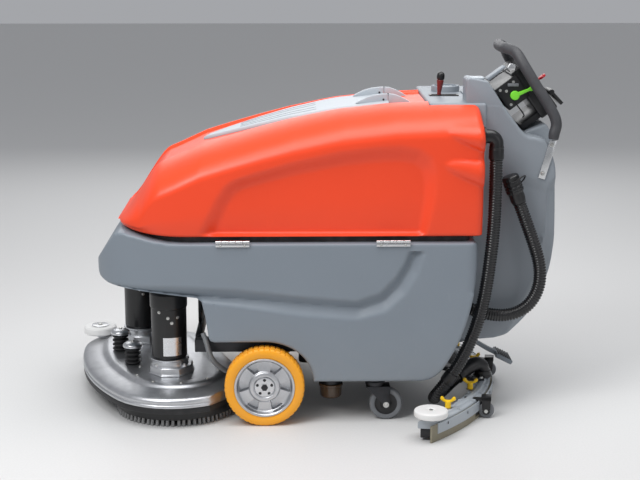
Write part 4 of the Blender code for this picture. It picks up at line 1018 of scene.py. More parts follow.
def shape_column(points):
    """Tucks in the rear margin behind a soft fold, and dishes the side under the handle bracket."""
    x, y, z = points.T
    flat = np.column_stack([x, z])
    below = (z < np.interp(x, [p[0] for p in LOWER_FOLD], [p[1] for p in LOWER_FOLD])) & (x > 0.600)
    behind = ~inside(flat, COLUMN_FOLD + [(0.40, 0.80), (0.40, 0.10)]) & below
    under = np.minimum(to_line(flat, LOWER_FOLD) / 0.030, 1.0)
    tuck = np.where(behind, np.minimum(to_line(flat, COLUMN_FOLD) / 0.036, 1.0) * under, 0.0)
    dish = np.where(below & ~behind, under, 0.0)
    fade = np.clip((x - 0.600) / 0.060, 0.0, 1.0) * np.clip((z - 0.300) / 0.250, 0.0, 1.0)
    on_side = np.clip((np.abs(y) - 0.15) / 0.04, 0.0, 1.0)
    depth = 0.020 * (1 - (1 - tuck) ** 2) + 0.006 * dish * fade
    return np.column_stack([x, y - np.sign(y) * depth * on_side, z])


def trimmed_rear():
    """The space kept by the solution tank, with a hair's gap behind it."""
    return moved(prism(body_side(), -0.5, 0.5, "Y"), (0.0006, 0.0, 0.0))


def control_column():
    column = reshape(slab(column_side(), COLUMN_HALF, 0.010, 0.0065), shape_column)
    cut(column, trimmed_rear(), block((0.3, -0.5, 0.5), (REAR_X + 0.0006, 0.5, PLINTH_TOP + 0.0003)))
    pedestal = softened(block((NOTCH_X + 0.003, NOTCH_Y + 0.003, PLINTH_TOP + 0.0003),
                              (0.5400, 0.300, SHELF_Z)),
                        0.010, 3)
    hump_side = [(0.650, 0.800), (0.660, 0.852), (0.680, 0.8615), (0.734, 0.882), (0.762, 0.838),
                 (0.757, 0.742)]
    hump = softened(prism(hump_side, -0.120, 0.120, "Y"), 0.008, 3)
    post = softened(prism(POST_SIDE, -COLUMN_HALF + 0.0004, -0.105, "Y"), 0.009, 3)
    neck = moved(disc(0.045, 0.940, 0.9745, 56, 0.003), (0.4495, 0.130, 0.0))
    joined(column, pedestal, hump, post, neck)
    mouth = moved(disc(0.038, 0.925, 1.0, 56), (0.4495, 0.130, 0.0))
    slot = block((0.392, -0.011, 0.885), (0.470, 0.011, 1.0))
    motor_bay = softened(block((0.30, -0.120, 0.600), (0.670, 0.120, 0.800)), 0.012, 3)
    cut(column, mouth, slot, motor_bay)
    placed(column, "control_column_shell", "column_grey", "chassis", "grey_plastic", sharp=46.0,
           stands_for="control_column")
    for index, (x, z) in enumerate(((0.500, 0.9605), (0.520, 0.9605))):
        vent = softened(prism([(x - 0.006, -0.150), (x + 0.006, -0.150), (x + 0.006, 0.090),
                               (x - 0.006, 0.090)],
                              SHELF_Z - 0.001, z, "Z"), 0.0015)
        placed(vent, f"shelf_rib_{index}", "column_grey", "chassis", "grey_plastic")
    slot_lip = softened(block((0.385, -0.018, SHELF_Z - 0.001), (0.477, 0.018, SHELF_Z + 0.0035)), 0.002)
    cut(slot_lip, block((0.392, -0.011, 0.9), (0.470, 0.011, 1.0)))
    placed(slot_lip, "lever_slot_lip", "black", "chassis", "black_plastic")
    post_cap = softened(prism(filleted([(0.492, -0.185), (0.534, -0.185), (0.534, -0.125), (0.492, -0.125)],
                                       0.012, closed=True), 1.0215, 1.0285, "Z"), 0.002)
    placed(post_cap, "post_cap", "light_grey", "chassis", "light_grey_plastic")


def vacuum_motor():
    profile = filleted([(0.0, 0.0), (0.060, 0.0), (0.068, 0.006), (0.068, 0.090), (0.052, 0.096),
                        (0.052, 0.150), (0.020, 0.150), (0.020, 0.165), (0.0, 0.165)], 0.004)
    can = moved(turned(profile, 64), (0.590, 0.0, 0.6003))
    placed(can, "vacuum_motor_can", "dark_steel", "chassis", "dark_steel", stands_for="vacuum_motor")


def batteries():
    for name, start in (("battery_front", -0.292), ("battery_rear", -0.002)):
        case = softened(block((start, -0.180, 0.2823), (start + 0.284, 0.180, 0.500)), 0.006)
        lid = softened(block((start + 0.004, -0.176, 0.495), (start + 0.280, 0.176, 0.515)), 0.004)
        placed(joined(case, lid), f"{name}_case", "battery", "chassis", "battery", stands_for=name)
        for index, y in enumerate((-0.140, 0.140)):
            post = moved(disc(0.010, 0.512, 0.535, 28, 0.002), (start + 0.030, y, 0.0))
            placed(post, f"{name}_post_{index}", "zinc", "chassis", "steel")


# --- chassis metal --------------------------------------------------------------------------------
def bolt(radius=0.0055, height=0.004, sides=6):
    """A flanged bolt head standing on z = 0."""
    head = turned([(0.0, 0.0008), (radius, 0.0008), (radius, 0.8 * height), (0.85 * radius, height),
                   (0.0, height)],
                  sides)
    washer = turned([(0.0, 0.0), (1.45 * radius, 0.0), (1.45 * radius, 0.0008), (0.9 * radius, 0.0012),
                     (0.0, 0.0012)],
                    32)
    return grouped([head, washer])


def chassis_frame():
    shapes = []
    for sign in SIDES.values():
        inner, outer = sorted((sign * 0.205, sign * 0.245))
        shapes.append(softened(block((-0.345, inner, 0.196), (0.300, outer, 0.236)), 0.003))
        shapes.append(softened(block((0.165, inner, 0.140), (0.280, outer, 0.1955)), 0.003))
        shapes.append(softened(block((0.157, sign * CASTER_Y - 0.0285, 0.1285),
                                     (0.253, sign * CASTER_Y + 0.0285, 0.1342)), 0.0015))
    shapes.append(softened(block((-0.3455, -0.2045, 0.190), (-0.330, 0.2045, 0.240)), 0.003))
    shapes.append(softened(block((-0.345, -0.060, 0.2405), (-0.335, 0.060, 0.380)), 0.002))
    shapes.append(softened(block((0.010, -0.2045, 0.196), (0.050, 0.2045, 0.230)), 0.003))
    shapes.append(softened(block((0.145, -0.325, 0.1345), (0.300, 0.325, 0.1440)), 0.0025))
    shapes.append(moved(disc(0.030, 0.1303, 0.1955, 48, 0.003), (0.0, 0.0, 0.0)))
    shapes.append(softened(block((0.043, -0.225, 0.150), (0.103, -0.185, 0.2045)), 0.003))
    shapes.append(moved(disc(0.034, 0.0853, 0.1495, 48, 0.003), (0.073, -0.205, 0.0)))
    placed(grouped(shapes), "chassis_rails", "dark_steel", "chassis", "dark_steel",
           stands_for="chassis_frame")
    for side, sign in SIDES.items():
        for index, (u, v) in enumerate(((-0.038, -0.018), (0.038, -0.018), (-0.038, 0.018), (0.038, 0.018))):
            head = moved(bolt(0.0045, 0.0040), (CASTER_X + u, sign * CASTER_Y + v, 0.0))
            reshape(head, lambda p: p * (1, 1, -1) + (0, 0, 0.1284))
            placed(head, f"caster_plate_bolt_{side}_{index}", "zinc", "chassis", "steel")


def filter_bowl():
    outer = filleted([(0.0, 0.040), (0.028, 0.040), (0.033, 0.046), (0.035, 0.076), (0.038, 0.078),
                      (0.038, 0.085), (0.0, 0.085)], 0.003)
    bowl = turned(outer, 72, radius_at=lambda k, i, r: r - (0.0010 if i % 6 < 2 and r > 0.034 else 0.0))
    placed(moved(bowl, (0.073, -0.205, 0.0)), "filter_bowl_cup", "bowl", "chassis", "brown_clear",
           stands_for="filter_bowl")
    spigot = moved(disc(0.011, -0.262, -0.238, 32, 0.002), (0.073, 0.0, 0.122), "Y")
    placed(spigot, "filter_spigot", "zinc", "chassis", "steel")


def transaxle():
    end = WHEEL_INNER_Y - 0.0003
    axle_side = [(0.0, -end), (0.040, -end), (0.040, -0.300), (0.026, -0.296), (0.026, 0.296), (0.040, 0.300),
                 (0.040, end), (0.0, end)]
    shapes = [moved(turned(filleted(axle_side, 0.003), 48), (AXLE_X, 0.0, WHEEL_RADIUS), "Y")]
    shapes.append(moved(disc(0.062, -0.040, 0.042, 56, 0.006), (AXLE_X, 0.0, WHEEL_RADIUS), "Y"))
    shapes.append(moved(disc(0.048, 0.043, 0.190, 56, 0.005), (AXLE_X + 0.004, 0.0, WHEEL_RADIUS + 0.013),
                        "Y"))
    for sign in SIDES.values():
        shapes.append(softened(block((AXLE_X - 0.019, sign * 0.225 - 0.016, WHEEL_RADIUS + 0.006),
                                     (AXLE_X + 0.019, sign * 0.225 + 0.016, 0.1957)), 0.002))
    placed(grouped(shapes), "transaxle_body", "dark_steel", "chassis", "dark_steel", stands_for="transaxle")


def tank_hinges():
    for name, middle in (("tank_hinge_front", -0.221), ("tank_hinge_rear", 0.253)):
        leaf = softened(block((middle - 0.050, -0.3512, 0.5485), (middle + 0.050, -0.3453, 0.5585)), 0.0008)
        shapes = [leaf]
        for k in range(5):
            start = -0.050 + 0.0202 * k
            barrel = disc(0.0043, start, start + 0.0192, 28, 0.0008)
            shapes.append(moved(barrel, (middle, -0.3495, 0.563), "X"))
        placed(grouped(shapes), f"{name}_leaf", "steel", "chassis", "steel", stands_for=name)
        for index, offset in enumerate((-0.036, 0.036)):
            screw = moved(bolt(0.0030, 0.0022), (middle + offset, 0.0, 0.0))
            reshape(screw, lambda p: np.column_stack([p[:, 0], -0.3512 - p[:, 2], 0.5528 + p[:, 1]]))
            placed(screw, f"{name}_screw_{index}", "zinc", "chassis", "steel")


# --- handle and controls --------------------------------------------------------------------------
SLOPE = math.radians(-53.5)
PANEL_DEPTH = 1.172
OUTWARD = Vector((-math.sin(SLOPE), 0.0, math.cos(SLOPE)))
DOWN = Vector((math.cos(SLOPE), 0.0, math.sin(SLOPE)))


def console_point(depth, down):
    """A point (x, z) of the console: depth towards the operator, down along its slope."""
    point = depth * OUTWARD + down * DOWN
    return (point.x, point.z)


def console_block(depths, downs, low, high, edge=0.003):
    (d0, d1), (s0, s1) = depths, downs
    corners = [console_point(d, s) for d, s in ((d0, s0), (d1, s0), (d1, s1), (d0, s1))]
    return softened(prism(corners, low, high, "Y"), edge)


def handle():
    arm = [(0.742, 0.2050, 0.8450), (0.744, 0.2045, 0.862), (0.750, 0.202, 0.888), (0.744, 0.198, 0.914),
           (0.726, 0.190, 0.946), (0.690, 0.176, 1.003), (0.656, 0.158, 1.060), (0.634, 0.130, 1.097),
           (0.614, 0.088, 1.1075), (0.606, 0.040, 1.1085)]
    route = [(x, -y, z) for x, y, z in arm] + list(reversed(arm))
    points = through(route, 180)
    sizes = [0.0165] * len(points)
    for k, less in enumerate((0.0020, 0.0008, 0.0002)):
        sizes[k] = sizes[-1 - k] = 0.0165 - less
    placed(tube(points, sizes, 36), "handle_grip_loop", "grip", "chassis", "grip", stands_for="handle_loop")
    for side, sign in SIDES.items():
        outline = [(0.700, 0.728), (0.720, 0.722), (0.752, 0.833), (0.752, 0.8420), (0.731, 0.8420)]
        strap = softened(prism(outline,
                               *sorted((sign * (COLUMN_HALF + 0.0003), sign * (COLUMN_HALF + 0.0055))), "Y"),
                         0.0012)
        placed(strap, f"handle_strap_{side}", "steel", "chassis", "steel",
               stands_for=f"handle_bracket_{side}")
        for index, (x, z) in enumerate(((0.712, 0.741), (0.738, 0.829))):
            head = bolt(0.0050, 0.0038)
            face = sign * (COLUMN_HALF + 0.0055)
            reshape(head, lambda p: np.column_stack([p[:, 0] + x, face + sign * p[:, 2], p[:, 1] + z]))
            placed(head, f"handle_bolt_{side}_{index}", "zinc", "chassis", "steel")


def console():
    trim = moved(prism(POST_SIDE, -0.3, 0.3, "Y"), (0.0006, 0.0, 0.0004))
    ledge_side = [(0.600, 0.70), (0.600, 0.934), (0.642, 0.8775), (0.665, 0.8565), (0.734, 0.8825),
                  (0.762, 0.8385), (0.762, 0.70)]
    ledge = prism(ledge_side, -0.3, 0.3, "Y")
    deep = console_block((1.045, 1.125), (-0.4536, -0.375), -0.140, 0.120, 0.004)
    panel = console_block((1.112, PANEL_DEPTH), (-0.462, -0.292), -0.125, 0.125, 0.006)
    recess = console_block((1.150, 1.30), (-0.452, -0.400), -0.110, 0.110, 0.003)
    stay = console_block((1.046, 1.130), (-0.3130, -0.2930), -0.100, 0.100, 0.004)
    housing = joined(panel, deep, stay)
    cut(housing, recess, trim, ledge)
    placed(housing, "console_shell", "black", "chassis", "black_plastic", stands_for="console_housing")
    display = console_block((1.1502, 1.1525), (-0.450, -0.402), -0.106, 0.106, 0.001)
    placed(display, "console_display", "grey_tyre", "chassis", "black_plastic")
    for index, y in enumerate((-0.075, -0.045, -0.015, 0.015, 0.045, 0.075)):
        at = console_point(1.1524, -0.426)
        start = Vector((at[0], y, at[1]))
        button = along(disc(0.0085, 0.0, 0.0035, 32, 0.0012), start, start + OUTWARD)
        placed(button, f"console_button_{index}", "rubber", "chassis", "black_rubber")
    strut_side = [(0.543, 1.0215), (0.597, 1.0610), (0.603, 1.0575), (0.553, 1.0130)]
    strut = softened(prism(strut_side, -0.150, -0.105, "Y"), 0.002)
    cut(strut, moved(prism(POST_SIDE, -0.3, 0.3, "Y"), (0.0006, 0.0, 0.0004)))
    placed(strut, "console_strut", "column_grey", "chassis", "grey_plastic")
    rod = tube([(0.5535, -0.152, 1.0165), (0.578, -0.152, 1.0345), (0.6015, -0.152, 1.0500),
                (0.6130, -0.152, 1.0440)], 0.0018, 10)
    placed(rod, "console_strut_rod", "dark_steel", "chassis", "dark_steel")
    bracket = softened(prism([(0.604, 1.050), (0.616, 1.068), (0.634, 1.062), (0.628, 1.046)], -0.148,
                             -0.128, "Y"),
                       0.0015)
    placed(bracket, "console_bracket", "steel", "chassis", "steel")
    for index, (depth,
                down) in enumerate(((1.058, -0.443), (1.072, -0.430), (1.060, -0.388), (1.105, -0.440))):
        at = console_point(depth, down)
        screw = moved(bolt(0.0030, 0.0024), (at[0], 0.0, 0.0))
        reshape(screw, lambda p: np.column_stack([p[:, 0], -0.140 - p[:, 2], at[1] + p[:, 1]]))
        placed(screw, f"console_screw_{index}", "zinc", "chassis", "steel")
    plug_low, plug_high = console_point(1.083, -0.440), console_point(1.100, -0.424)
    plug = softened(block((plug_low[0], -0.147, plug_low[1]),
                          (plug_high[0] + 0.010, -0.139, plug_high[1] + 0.012)),
                    0.0015)
    placed(plug, "console_switch", "grey_tyre", "chassis", "grey_tyre")
    cable = through([(0.623, -0.141, 0.962), (0.640, -0.143, 0.940), (0.655, -0.140, 0.921),
                     (0.664, -0.128, 0.908), (0.664, -0.104, 0.900)], 24)
    placed(tube(cable, 0.0020, 10), "valve_cable", "black", "chassis", "black_plastic")


def controls():
    hub = console_point(1.085, -0.405)
    tip = console_point(1.138, -0.392)
    lever = moved(disc(0.014, -0.012, -0.0004, 40, 0.002), (hub[0], -0.1403, hub[1]), "Y")
    line = (Vector(tip) - Vector(hub)).normalized()
    across = Vector((-line.y, line.x))
    outline = [Vector(hub) + 0.0065 * across, Vector(hub) - 0.0065 * across,
               Vector(tip) - 0.004 * across - 0.010 * line, Vector(tip) - 0.0075 * across,
               Vector(tip) + 0.0075 * across, Vector(tip) + 0.004 * across - 0.010 * line]
    arm = softened(prism([tuple(p) for p in outline], -0.1510, -0.1440, "Y"), 0.0015)
    placed(joined(lever, arm), "valve_lever_arm", "green", "valve_lever", "green_plastic",
           stands_for="valve_lever")

    base_x, base_z = console_point(PANEL_DEPTH + 0.0003, -0.385)
    base = Vector((base_x, -0.050, base_z))
    shaft = disc(0.004, 0.0, 0.014, 24)
    bow_side = [(-0.011, 0.010), (0.011, 0.010), (0.013, 0.022), (0.007, 0.031), (-0.007, 0.031),
                (-0.013, 0.022)]
    bow = softened(prism(filleted(bow_side, 0.004, closed=True), -0.0035, 0.0035, "Y"), 0.0010)
    hole = moved(disc(0.0035, -0.02, 0.02, 20), (0.0, 0.0, 0.024), "Y")
    placed(along(cut(joined(shaft, bow), hole), base, base + OUTWARD), "key_bow", "key_red", "key", "red_key",
           stands_for="key")
    collar = along(turned([(0.0046, -0.001), (0.012, -0.001), (0.011, 0.0035), (0.0046, 0.0035)], 32, True),
                   base, base + OUTWARD)
    placed(collar, "key_collar", "zinc", "chassis", "steel")

    axis = console_point(PANEL_DEPTH + 0.012, -0.338)
    end = console_point(PANEL_DEPTH + 0.018, -0.288)
    barrel = moved(disc(0.0085, -0.045, 0.045, 32, 0.0015), (axis[0], -0.060, axis[1]), "Y")
    line = (Vector(end) - Vector(axis)).normalized()
    across = Vector((-line.y, line.x)) * 0.0055
    blade_side = [Vector(axis) + across, Vector(axis) - across, Vector(end) - across, Vector(end) + across]
    blade = softened(prism([tuple(p) for p in blade_side], -0.100, -0.020, "Y"), 0.002)
    placed(joined(barrel, blade), "speed_paddle_blade", "black", "speed_paddle", "black_plastic",
           stands_for="speed_paddle")


def lift_lever():
    pivot = Vector((0.411, 0.0, 0.900))
    up = pivot + Vector((0.010, 0.0, 0.120))
    rod_side = [(0.0, 0.0), (0.0070, 0.0), (0.0070, 0.050), (0.0060, 0.066), (0.0085, 0.084), (0.0110, 0.100),
                (0.0110, 0.1040), (0.0, 0.1040)]
    rod = joined(turned(filleted(rod_side, 0.003), 36),
                 moved(disc(0.010, -0.009, 0.009, 36, 0.001), axis="Y"))
    placed(along(rod, pivot, up), "lift_lever_rod", "lever_red", "lift_lever", "black_plastic",
           stands_for="lift_lever")
    grip_side = filleted([(0.0, 0.1042), (0.0112, 0.1042), (0.0125, 0.114), (0.0112, 0.1260),
                          (0.0, 0.1316)], 0.006)
    placed(along(turned(grip_side, 36), pivot, up), "lift_lever_knob", "black", "lift_lever", "black_plastic")


def filler_cap():
    centre = (0.4495, 0.130, 0.0)
    profile = filleted([(0.0, 0.9253), (0.0360, 0.9253), (0.0370, 0.930), (0.0370, 0.9580), (0.0330, 0.9620),
                        (0.0, 0.9620)], 0.002)
    cap = turned(profile, 96, radius_at=lambda k, i, r: r - (0.0012 if i % 4 < 2 and r > 0.0362 else 0.0))
    grip = softened(block((-0.026, -0.006, 0.955), (0.026, 0.006, 0.972)), 0.003, 3)
    placed(moved(joined(cap, grip), centre), "filler_cap_disc", "light_grey", "filler_cap",
           "light_grey_plastic", stands_for="filler_cap")


def foot_pedal():
    stalk = through([(0.500, 0.0, 0.170), (0.545, 0.0, 0.156), (0.590, 0.0, 0.130), (0.640, 0.0, 0.106)], 30)
    bar = [(p.x, p.z) for p in stalk]
    outline = [(x, z + 0.007) for x, z in bar] + [(x, z - 0.007) for x, z in reversed(bar)]
    lever = softened(prism(outline, -0.011, 0.011, "Y"), 0.002)
    pad = softened(prism([(0.616, 0.1245), (0.667, 0.0985), (0.661, 0.087), (0.609, 0.113)], -0.045, 0.045,
                         "Y"), 0.003)
    hub = moved(disc(0.014, -0.016, 0.016, 40, 0.002), (0.500, 0.0, 0.170), "Y")
    placed(joined(lever, pad, hub), "foot_pedal_arm", "grey", "foot_pedal", "grey_plastic",
           stands_for="foot_pedal")
    slope = Vector((0.051, -0.026)).normalized()
    for k in range(6):
        at = Vector((0.6195, 0.1238)) + 0.0085 * k * slope
        rib_side = [at, at + 0.004 * slope, at + 0.004 * slope + 0.0018 * Vector((-slope.y, slope.x)),
                    at + 0.0018 * Vector((-slope.y, slope.x))]
        rib = softened(prism([tuple(p) for p in rib_side], -0.040, 0.040, "Y"), 0.0006)
        placed(rib, f"pedal_tread_{k}", "rubber", "foot_pedal", "black_rubber")


# --- hoses ----------------------------------------------------------------------------------------
RIB_PITCH = 0.0080
SUCTION_SPLIT = 0.735  # share of the suction hose's length above its cuff


def in_row(points):
    return [STRAIGHT @ Vector(p) for p in points]


def line_length(points):
    return sum((Vector(b) - Vector(a)).length for a, b in zip(points, points[1:]))


def ribbed_hose(points, radius=HOSE_RADIUS, depth=0.0032, sides=28):
    """A corrugated tube: four rings to each rounded rib."""
    rings = 4 * int(line_length(points) / RIB_PITCH)
    fine = through(points, rings)
    wave = (0.30, 0.0, 0.30, 1.0)
    return tube(fine, [radius - depth * wave[k % 4] for k in range(rings)], sides)


def soft_hose(hose, name, material, slot):
    hose.data.transform(STRAIGHT)
    hose.name = hose.data.name = name
    hose.data.materials.append(MATERIALS[material])
    hose.data.shade_smooth()
    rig.slot(hose, slot)


def elbow():
    bend = [(0.5198, -0.300, 0.868), (0.534, -0.300, 0.868)]
    bend += [(x, -0.300, z) for x, z in arc((0.534, 0.845), 0.023, 85, 5, 17)]
    bend += [(0.557, -0.300, 0.840), (0.557, -0.300, 0.838)]
    shapes = [tube(bend, 0.0205, 36)]
    cuff = [(0.0, 0.800), (0.0215, 0.800), (0.0225, 0.802), (0.0225, 0.829), (0.0215, 0.831),
            (0.0215, 0.8335), (0.0222, 0.8345), (0.0222, 0.838), (0.0, 0.838)]
    shapes.append(moved(turned(filleted(cuff, 0.0008, 2), 48), (0.557, -0.300, 0.0)))
    placed(grouped(shapes), "suction_elbow_bend", "black", "chassis", "black_plastic",
           stands_for="suction_elbow")
    flange = moved(turned([(0.0206, 0.0), (0.0275, 0.0), (0.0275, 0.0035), (0.0206, 0.0035)], 40, True),
                   (0.5200, -0.300, 0.868), "X")
    placed(flange, "suction_elbow_flange", "black", "chassis", "black_plastic")


def suction_hose():
    """Two lengths joined under a cuff, so that each one bends across a single joint."""
    line = through(SUCTION_ROUTE, 241)
    cuff_at = round(SUCTION_SPLIT * 240)
    upper, lower = line[:cuff_at + 1], line[cuff_at:]
    first = ribbed_hose(upper)
    second = ribbed_hose(lower)
    for hose, name in ((first, "suction_hose_upper"), (second, "suction_hose_lower")):
        soft_hose(hose, name, "hose", "black_rubber")
        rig.replaces(hose, "suction_hose")
    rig.blend(first, "chassis", "squeegee_swing", *in_row([(0.509, -0.3003, 0.290), tuple(upper[-1])]))
    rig.blend(second, "squeegee_swing", "squeegee_lift", *in_row([tuple(lower[12]), tuple(lower[-12])]))
    cuff = turned([(0.0203, -0.016), (0.0216, -0.015), (0.0222, -0.004), (0.0222, 0.004), (0.0216, 0.015),
                   (0.0203, 0.016)], 40, True)
    cuff = along(cuff, line[cuff_at], line[cuff_at + 3])
    placed(cuff, "suction_hose_cuff", "black", "squeegee_swing", "black_plastic")
    upper_path, lower_path = in_row(upper[::4]), in_row(lower[::4])
    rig.cord(first, exit=upper_path[0], length=line_length(upper), diameter=2 * HOSE_RADIUS, far_end="fitting",
            stiffness="limp", lay="hanging", path=upper_path, with_pieces=[cuff])
    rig.cord(second, exit=lower_path[0], length=line_length(lower), diameter=2 * HOSE_RADIUS, far_end="object",
            stiffness="limp", lay="hanging", path=lower_path)


def drain_hose():
    line = through(DRAIN_ROUTE, 121)
    hose = placed(ribbed_hose(line), "drain_hose_tube", "hose", "chassis", "black_rubber", sharp=180.0,
                  stands_for="drain_hose")
    path = in_row(line[::4])
    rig.cord(hose, exit=path[0], length=line_length(line), diameter=2 * HOSE_RADIUS, far_end="object",
            stiffness="limp", lay="hanging", path=path)
    boss = along(turned(filleted([(0.0, 0.0), (0.0265, 0.0), (0.0265, 0.010), (0.0235, 0.012),
                                  (0.0235, 0.0165), (0.0, 0.0165)], 0.001, 2), 40), (0.478, -0.250, 0.3370),
                 (0.4965, -0.250, 0.331))
    placed(boss, "drain_boss", "black", "chassis", "black_plastic")
    top, bottom = Vector((0.606, -0.250, 0.742)), Vector((0.6368, -0.250, 0.6603))
    length = (bottom - top).length
    ribs = [(0.0, 0.0), (0.0230, 0.0), (0.0262, 0.004), (0.0265, 0.0140), (0.0250, 0.0150), (0.0250, 0.0165),
            (0.0268, 0.0175), (0.0268, 0.0290), (0.0245, 0.0305), (0.0245, 0.0335), (0.0275, 0.0350),
            (0.0275, 0.0400), (0.0258, 0.0410), (0.0258, 0.0430), (0.0275, 0.0440), (0.0275, 0.0500),
            (0.0235, 0.0560), (0.0235, length - 0.012), (0.0215, length - 0.0002), (0.0, length - 0.0002)]
    cap = turned(filleted(ribs, 0.0006, 2), 72,
                 radius_at=lambda k, i, r: r - (0.0010 if i % 6 < 2 and r > 0.0262 else 0.0))
    placed(along(cap, top, bottom), "drain_cap_body", "black", "chassis", "black_plastic",
           stands_for="drain_cap")
    clip = softened(block((0.602, -0.240, 0.698), (0.640, -COLUMN_HALF - 0.0003, 0.714)), 0.002)
    placed(clip, "drain_cap_clip", "black", "chassis", "black_plastic")
    loop = through([(0.618, -0.276, 0.722), (0.633, -0.282, 0.740), (0.650, -0.262, 0.744),
                    (0.652, -0.235, 0.730), (0.640, -0.228, 0.712)], 30)
    placed(tube(loop, 0.0024, 12), "drain_cap_strap", "rubber", "chassis", "black_rubber")


def water_hose():
    route = [(-0.318, -0.262, 0.262), (-0.308, -0.270, 0.236), (-0.300, -0.272, 0.206),
             (-0.288, -0.270, 0.178), (-0.270, -0.262, 0.156), (-0.250, -0.250, 0.138)]
    points = through(route, 150)
    ribbed = tube(points, [0.0082 - (0.0010 if k % 4 > 1 else 0.0) for k in range(150)], 16)
    soft_hose(ribbed, "deck_water_hose", "water_hose", "grey_tyre")
    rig.blend(ribbed, "chassis", "brush_deck", *in_row([route[1], route[4]]))


# --- wheels ---------------------------------------------------------------------------------------
def wedge(centre, inner, outer, middle, half_angle, corner):
    """A rounded wedge outline between two radii, in the side plane."""
    shape = arc(centre, outer, middle - half_angle, middle + half_angle, 7)
    shape += arc(centre, inner, middle + half_angle - 4, middle - half_angle + 4, 5)
    return filleted(shape, corner, 3, closed=True)


TREAD_STEPS = 264
NOTCH_EVERY = 6  # steps of the tread between two notches
NOTCH_DEPTH = 0.0030
NOTCH_FROM = 0.1170  # only the tread's outer corners are notched


def notched_tread(_corner, step, radius):
    """The tyre's radius at one step round it, cut back at each notch."""
    if step % NOTCH_EVERY == 0 and radius > NOTCH_FROM:
        return radius - NOTCH_DEPTH
    return radius


def drive_wheels():
    centre = (AXLE_X, 0.0, WHEEL_RADIUS)
    tread = [(RIM_RADIUS + 0.0003, WHEEL_INNER_Y + 0.004), (0.100, WHEEL_INNER_Y), (0.112, WHEEL_INNER_Y),
             (0.1165, WHEEL_INNER_Y + 0.002), (WHEEL_RADIUS, WHEEL_INNER_Y + 0.007), (WHEEL_RADIUS, 0.338),
             (0.1180, 0.339), (0.1180, 0.343), (WHEEL_RADIUS, 0.344), (WHEEL_RADIUS, WHEEL_OUTER_Y - 0.007),
             (0.1165, WHEEL_OUTER_Y - 0.002), (0.112, WHEEL_OUTER_Y), (0.100, WHEEL_OUTER_Y),
             (RIM_RADIUS + 0.0003, WHEEL_OUTER_Y - 0.004)]
    rim_side = [(0.0, WHEEL_INNER_Y), (0.045, WHEEL_INNER_Y), (0.050, 0.325), (0.078, 0.325), (0.083, 0.314),
                (RIM_RADIUS, 0.314), (RIM_RADIUS, 0.369), (0.0865, 0.369), (0.083, 0.366), (0.080, 0.354),
                (0.076, 0.350), (0.048, 0.354), (0.044, 0.360), (0.034, 0.362), (0.031, 0.358), (0.0, 0.358)]
    for side, sign in SIDES.items():
        tyre = turned([(r, sign * h) for r, h in tread], TREAD_STEPS, True, notched_tread)
        placed(moved(tyre, centre, "Y"), f"drive_tyre_{side}_tread", "tyre", f"drive_wheel_{side}",
               "orange_tyre", sharp=30.0, stands_for=f"drive_tyre_{side}")
        rim = moved(turned(filleted([(r, sign * h) for r, h in rim_side], 0.0025, 3), 96), centre, "Y")
        for k in range(6):
            outline = wedge((AXLE_X, WHEEL_RADIUS), 0.0480, 0.0775, 60.0 * k, 14.0, 0.005)
            pocket = softened(prism(outline, *sorted((sign * 0.3290, sign * 0.40)), "Y"), 0.002)
            cut(rim, pocket)
        placed(rim, f"drive_rim_{side}_dish", "cast", f"drive_wheel_{side}", "cast_aluminium", sharp=34.0,
               stands_for=f"drive_rim_{side}")
        hub_side = [(0.0, 0.357), (0.0285, 0.357), (0.0300, 0.359), (0.0290, 0.3612), (0.0190, 0.3625),
                    (0.0, 0.3625)]
        hub = moved(turned([(r, sign * h) for r, h in hub_side], 56), centre, "Y")
        placed(hub, f"drive_hub_{side}", "turned", f"drive_wheel_{side}", "cast_aluminium")
        nut_side = [(0.0, 0.362), (0.0105, 0.362), (0.0105, 0.3665), (0.0090, 0.3675), (0.0, 0.3675)]
        nut = moved(turned([(r, sign * h) for r, h in nut_side], 6), centre, "Y")
        placed(nut, f"drive_nut_{side}", "dark_steel", f"drive_wheel_{side}", "dark_steel")
        for k in range(5):
            angle = math.radians(72 * k + 18)
            x = AXLE_X + 0.0215 * math.cos(angle)
            z = WHEEL_RADIUS + 0.0215 * math.sin(angle)
            head = bolt(0.0036, 0.0035)
            reshape(head, lambda p: np.column_stack([p[:, 0] + x, sign * (0.3612 + p[:, 2]), p[:, 1] + z]))
            placed(head, f"drive_bolt_{side}_{k}", "dark_steel", f"drive_wheel_{side}", "dark_steel")


